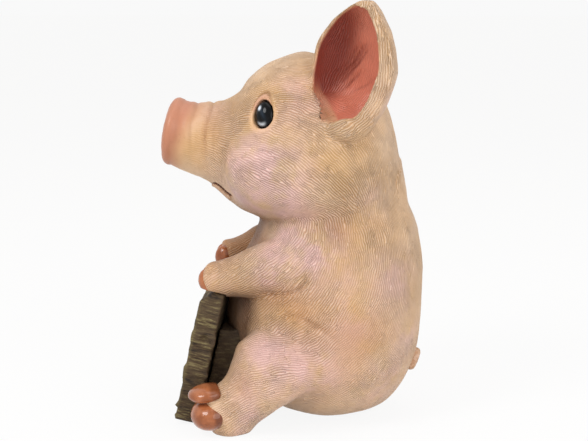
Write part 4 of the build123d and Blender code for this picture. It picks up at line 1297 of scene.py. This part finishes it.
def makeTail():
    rings, around = curl["rings"], curl["around"]
    tiltBy = math.radians(curl["tilt"])
    outward = np.array([0, math.cos(tiltBy), -math.sin(tiltBy)])
    upward = np.array([0, math.sin(tiltBy), math.cos(tiltBy)])
    middle = np.array([0, *curl["middle"]])
    share = np.linspace(0, 1, rings)
    angle = np.radians(90 - share * curl["turn"])
    thick = curl["tube"] * (1 - (1 - curl["tip"]) * fade(share, 0.55, 1.0))
    spokes = np.cos(angle)[:, None] * np.array([1.0, 0, 0]) + np.sin(angle)[:, None] * upward
    centre = middle + curl["radius"] * spokes
    turn = np.linspace(0, 2 * math.pi, around, endpoint=False)
    wobble = 1 + 0.05 * np.sin(share * 60)[:, None] * np.cos(3 * turn)[None, :]
    radial = np.cos(turn)[None, :] * thick[:, None] * wobble
    lift = np.maximum(np.sin(turn)[None, :] * thick[:, None] * wobble, -curl["flat"])
    places = centre[:, None, :] + radial[:, :, None] * spokes[:, None, :] + lift[:, :, None] * outward
    places = places.reshape(-1, 3)
    faces = tubeFaces(rings, around).tolist()
    # round ends
    for end, ring, sign in ((0, 0, -1), (1, rings - 1, 1)):
        along = np.cross(outward, spokes[ring]) * sign * -1.0
        last = list(range(ring * around, (ring + 1) * around))
        rim = places[last] - centre[ring]
        caps = []
        for bow in curl["endBows"]:
            loop = centre[ring] + rim * math.sqrt(max(1 - bow**2, 0.01)) + along * thick[ring] * bow
            new = list(range(len(places), len(places) + around))
            places = np.concatenate([places, loop])
            caps += [(last[k], last[(k + 1) % around], new[(k + 1) % around], new[k]) for k in range(around)]
            last = new
        caps += [
            (last[k], last[k + 1], last[around - 2 - k], last[around - 1 - k])
            for k in range(around // 2 - 1)
        ]
        faces += caps if end else [cap[::-1] for cap in caps]
    zero = np.zeros(len(places))
    spoke = places - middle
    marksOf = {key: zero for key in paint}
    marksOf.update({
        "hairAcross": spoke / np.linalg.norm(spoke, axis=1)[:, None], "hairDepth": zero + 0.5,
        "blush": zero + 0.3, "ochre": zero + 1.0, "recess": zero + 0.3,
    })
    makePiece("curledTail", "tail", skin, places, np.array(faces), marksOf)


makeTail()
print("tail made")

plank = {
    "grain": 1.0, "soften": 0.4, "seed": 7,
    "rough": ((6.0, 4, 0.35), (2.6, 5, 0.18)),  # size, seed, depth
    # across, depth, half width
    "frontGrooves": [(-24, 0.3, 0.9), (-9, 0.22, 0.6), (8, 0.35, 1.0), (26, 0.25, 0.7)],
    "sideDepth": 1.7, "sideGrain": 3.2, "frontDepth": 0.3, "frontGrain": 3.0, "chips": 26, "chipDepth": 1.5,
}


def frontLines(across, up):
    # depth of each groove in the front, and how near a point lies to it
    for at, depth, halfWidth in plank["frontGrooves"]:
        wander = at + 2.5 * np.sin(up * 0.06 + at)
        yield depth, np.exp(-(((across - wander) / halfWidth) ** 2))


def makeBoard():
    half, length, thick = board["width"] / 2, board["length"], board["thickness"]
    step, margin = plank["grain"], 3
    low = np.array([-half - margin, -margin, -thick - margin])
    high = np.array([half, length, 0]) + margin + 0.5
    u, v, w = np.meshgrid(*[np.arange(low[k], high[k], step) for k in range(3)], indexing="ij")

    def streaks(a, b, c, size, seed):
        shape = np.stack([a.ravel(), b.ravel(), c.ravel()], 1)
        return valueNoise(shape, size, seed).reshape(u.shape)

    # plank with a wide bevel along the top of its front
    rng = np.random.default_rng(plank["seed"])
    inX = half - np.abs(u)
    inV = np.minimum(v, length - v)
    field = np.maximum(np.maximum(-inX, -inV), np.maximum(w, -thick - w))
    field = np.maximum(field, (w + board["bevel"] - (length - v)) * 0.71)
    rough = sum(streaks(u, v, w, size, seed) * depth for size, seed, depth in plank["rough"])
    # saw marks across the thickness, on the sides and the ends
    wave = streaks(0 * u, v, w * 0.1, plank["sideGrain"], 6)
    waveTop = streaks(u, 0 * v, w * 0.1, plank["sideGrain"], 8)
    onSide = fade(-inX, -3.0, -0.5)
    onEnd = fade(-inV, -3.0, -0.5) * (1 - onSide)
    field = field + 0.75 + rough * 0.7 + plank["sideDepth"] * (wave * onSide + waveTop * onEnd)
    # long shallow grain on the front and the back
    grain = streaks(u, v * 0.07, 0 * w, plank["frontGrain"], 9)
    field = field + plank["frontDepth"] * grain * (1 - onSide) * (1 - onEnd)
    for depth, line in frontLines(u, v):
        field = field + depth * line * (w > -thick / 2)
    # chips out of the edges
    for chip in range(plank["chips"]):
        side = rng.integers(0, 4)
        place = rng.uniform(0.05, 0.95)
        deep = rng.choice([0.0, -thick]) * rng.uniform(0.5, 1)
        if side < 2:
            centre = (half * (1 if side else -1), place * length, deep)
        else:
            centre = ((place - 0.5) * board["width"], length * (side - 2), deep)
        radii = (rng.uniform(2, 5), rng.uniform(2, 5), rng.uniform(2, 4))
        field = softCut(field, ellipsoid(u, v, w, centre, radii) + plank["chipDepth"], 1.2)
    places, faces = quadsOf(field / step, low, step)
    places = relaxed(places, edgesOf(faces), plank["soften"])
    places[:, 1] = np.maximum(places[:, 1], 0)
    a, b, c = places.T
    sideway = np.array([1.0, 0, 0])
    world = boardFoot + a[:, None] * sideway + b[:, None] * boardUp + (c + thick)[:, None] * boardForward
    world[:, 2] = np.maximum(world[:, 2], 0)
    if np.linalg.det(np.stack([sideway, boardUp, boardForward])) < 0:
        faces = faces[:, ::-1]
    sides = fade(np.abs(a), half - 2.6, half - 0.8)
    ends = fade(np.abs(b - length / 2), length / 2 - 2.6, length / 2 - 0.8)
    grooveAt = np.zeros(len(places))
    for depth, line in frontLines(a, b):
        grooveAt = np.maximum(grooveAt, line * (c > -thick / 2) * depth / 0.35)
    edgeNear = np.minimum(half - np.abs(a), np.minimum(b, length - b))
    makePiece("roughSignBoard", "sign_board", boardPaint, world, faces, {
        "boardAcross": a, "boardUp": b, "boardOut": c, "boardSide": np.clip(sides + ends, 0, 1),
        "boardBack": fade(-c, thick - 2.5, thick - 0.5), "boardGroove": grooveAt,
        "boardWear": np.exp(-((edgeNear / 1.8) ** 2)) * fade(c, -3.0, -1.0),
    })


boardPaint = boardMaterial()
makeBoard()
print("board made")

web = {
    "halfWidth": 33.0, "rise": 61.2, "depth": 30.0, "topDepth": 24.0, "grain": 1.0, "lumps": 0.4,
    "low": (-37.0, -62.0, -3.0), "high": (37.0, -18.0, 66.0), "paintedShadeTop": (0.45, 36.0, 60.0),
}


def webField(x, y, z):
    # the casting behind the board, between the belly and the haunches
    top = boardUp * web["rise"]
    front = (y - boardFoot[1]) * boardForward[1] + z * boardForward[2] + 0.2
    slope = (web["topDepth"] - web["depth"] + top[1]) / top[2]
    rear = y - boardFoot[1] - web["depth"] - slope * z
    box = np.maximum(np.maximum(front, rear), np.maximum(np.abs(x) - web["halfWidth"], z - top[2]))
    lumps = web["lumps"] * np.sin(x * 0.5 + z * 0.3) * np.sin(z * 0.6 + y * 0.4)
    seats = np.minimum(torsoField(x, y, z), thighField(np.abs(x), y, z))
    return np.maximum(np.maximum(box + 0.5 + lumps, front), np.maximum(-1.0 - seats, -z))


def makeWeb():
    places, faces = fineBlock(np.array(web["low"]), np.array(web["high"]), web["grain"], webField)
    # painted shade towards the top of the web, where it meets the belly
    strength, low, high = web["paintedShadeTop"]
    zero = np.zeros(len(places))
    makePiece("brownBoardWeb", "board_web", boardPaint, places, faces, {
        "boardAcross": places[:, 0], "boardUp": places[:, 2], "boardOut": places[:, 1], "boardSide": zero,
        "boardBack": zero + 1.0, "boardGroove": strength * fade(places[:, 2], low, high), "boardWear": zero,
    })


makeWeb()
print("web made")

# castings that keep their own shape
pinMaterial, plugMaterial = steelMaterial(), stopperMaterial()
pinNodes = [f"{side}_{name}_pin" for side in ("left", "right") for name in ("foreleg", "hind_leg", "board")]
for node, material in [("base_plug", plugMaterial)] + [(node, pinMaterial) for node in pinNodes]:
    cadPiece = bpy.data.objects[node]
    if not cadPiece.material_slots:
        cadPiece.data.materials.append(material)
    for slot in cadPiece.material_slots:
        slot.material = material

# studio: a pale floor, a big soft lamp and two helpers
studio = {
    "floorSize": 40.0, "floorColour": tint(238, 238, 238), "floorGlow": 0.9,
    "camera": (0.7587, 0.0605, 0.2614), "cameraTurn": (79.7, 0.0, 94.5), "lens": 74.4, "sensor": 36.0,
    "lamps": {  # place, width, power
        "key": ((0.75, -0.75, 1.1), 0.6, 9.5), "fill": ((0.9, 0.9, 0.6), 1.2, 7.4),
        "top": ((-0.2, 0.2, 1.4), 1.2, 4.0),
    },
    "aim": (0.0, 0.0, 0.13), "skyColour": tint(246, 242, 236), "skyStrength": 0.55, "backdrop": 0.947,
}
white = (1, 1, 1, 1)
scene = bpy.context.scene


def makeFloor():
    half = studio["floorSize"] / 2
    mesh = bpy.data.meshes.new("paleFloor")
    ends = [(-half, -half, 0), (half, -half, 0), (half, half, 0), (-half, half, 0)]
    mesh.from_pydata(ends, [], [(0, 1, 2, 3)])
    floor = bpy.data.objects.new("paleFloor", mesh)
    scene.collection.objects.link(floor)
    box = PaintBox("paleFloorPaint")
    paper = box.add("ShaderNodeBsdfDiffuse", None, {"Color": studio["floorColour"]})
    glow = box.add("ShaderNodeEmission", None, {"Color": white, "Strength": 1.0})
    shown = box.shownRays() * studio["floorGlow"]
    mixed = box.add("ShaderNodeMixShader", None, {0: shown, 1: paper, 2: glow})
    box.add("ShaderNodeOutputMaterial", None, {"Surface": mixed}, None)
    mesh.materials.append(box.owner)


def makeSky():
    box = PaintBox("paleStudio", bpy.data.worlds)
    sky = {"Color": studio["skyColour"], "Strength": studio["skyStrength"]}
    backdrop = {"Color": white, "Strength": studio["backdrop"]}
    mixed = box.add("ShaderNodeMixShader", None, {
        0: box.shownRays(), 1: box.add("ShaderNodeBackground", None, sky),
        2: box.add("ShaderNodeBackground", None, backdrop),
    })
    box.add("ShaderNodeOutputWorld", None, {"Surface": mixed}, None)
    scene.world = box.owner


def makeLamp(name, place, width, power):
    light = bpy.data.lights.new(name, "AREA")
    light.shape, light.size, light.energy = "DISK", width, power
    lamp = bpy.data.objects.new(name, light)
    lamp.location = place
    lamp.rotation_euler = (Vector(studio["aim"]) - Vector(place)).to_track_quat("-Z", "Y").to_euler()
    scene.collection.objects.link(lamp)


def makeCamera():
    lens = bpy.data.cameras.new("photoCamera")
    lens.lens, lens.sensor_width = studio["lens"], studio["sensor"]
    lens.clip_start, lens.clip_end = 0.01, 50.0
    camera = bpy.data.objects.new("photoCamera", lens)
    camera.location = studio["camera"]
    camera.rotation_euler = [math.radians(angle) for angle in studio["cameraTurn"]]
    scene.collection.objects.link(camera)
    scene.camera = camera


makeFloor()
makeSky()
for name, values in studio["lamps"].items():
    makeLamp(name + "Lamp", *values)
makeCamera()
scene.view_settings.view_transform = "Standard"
print("studio lit")
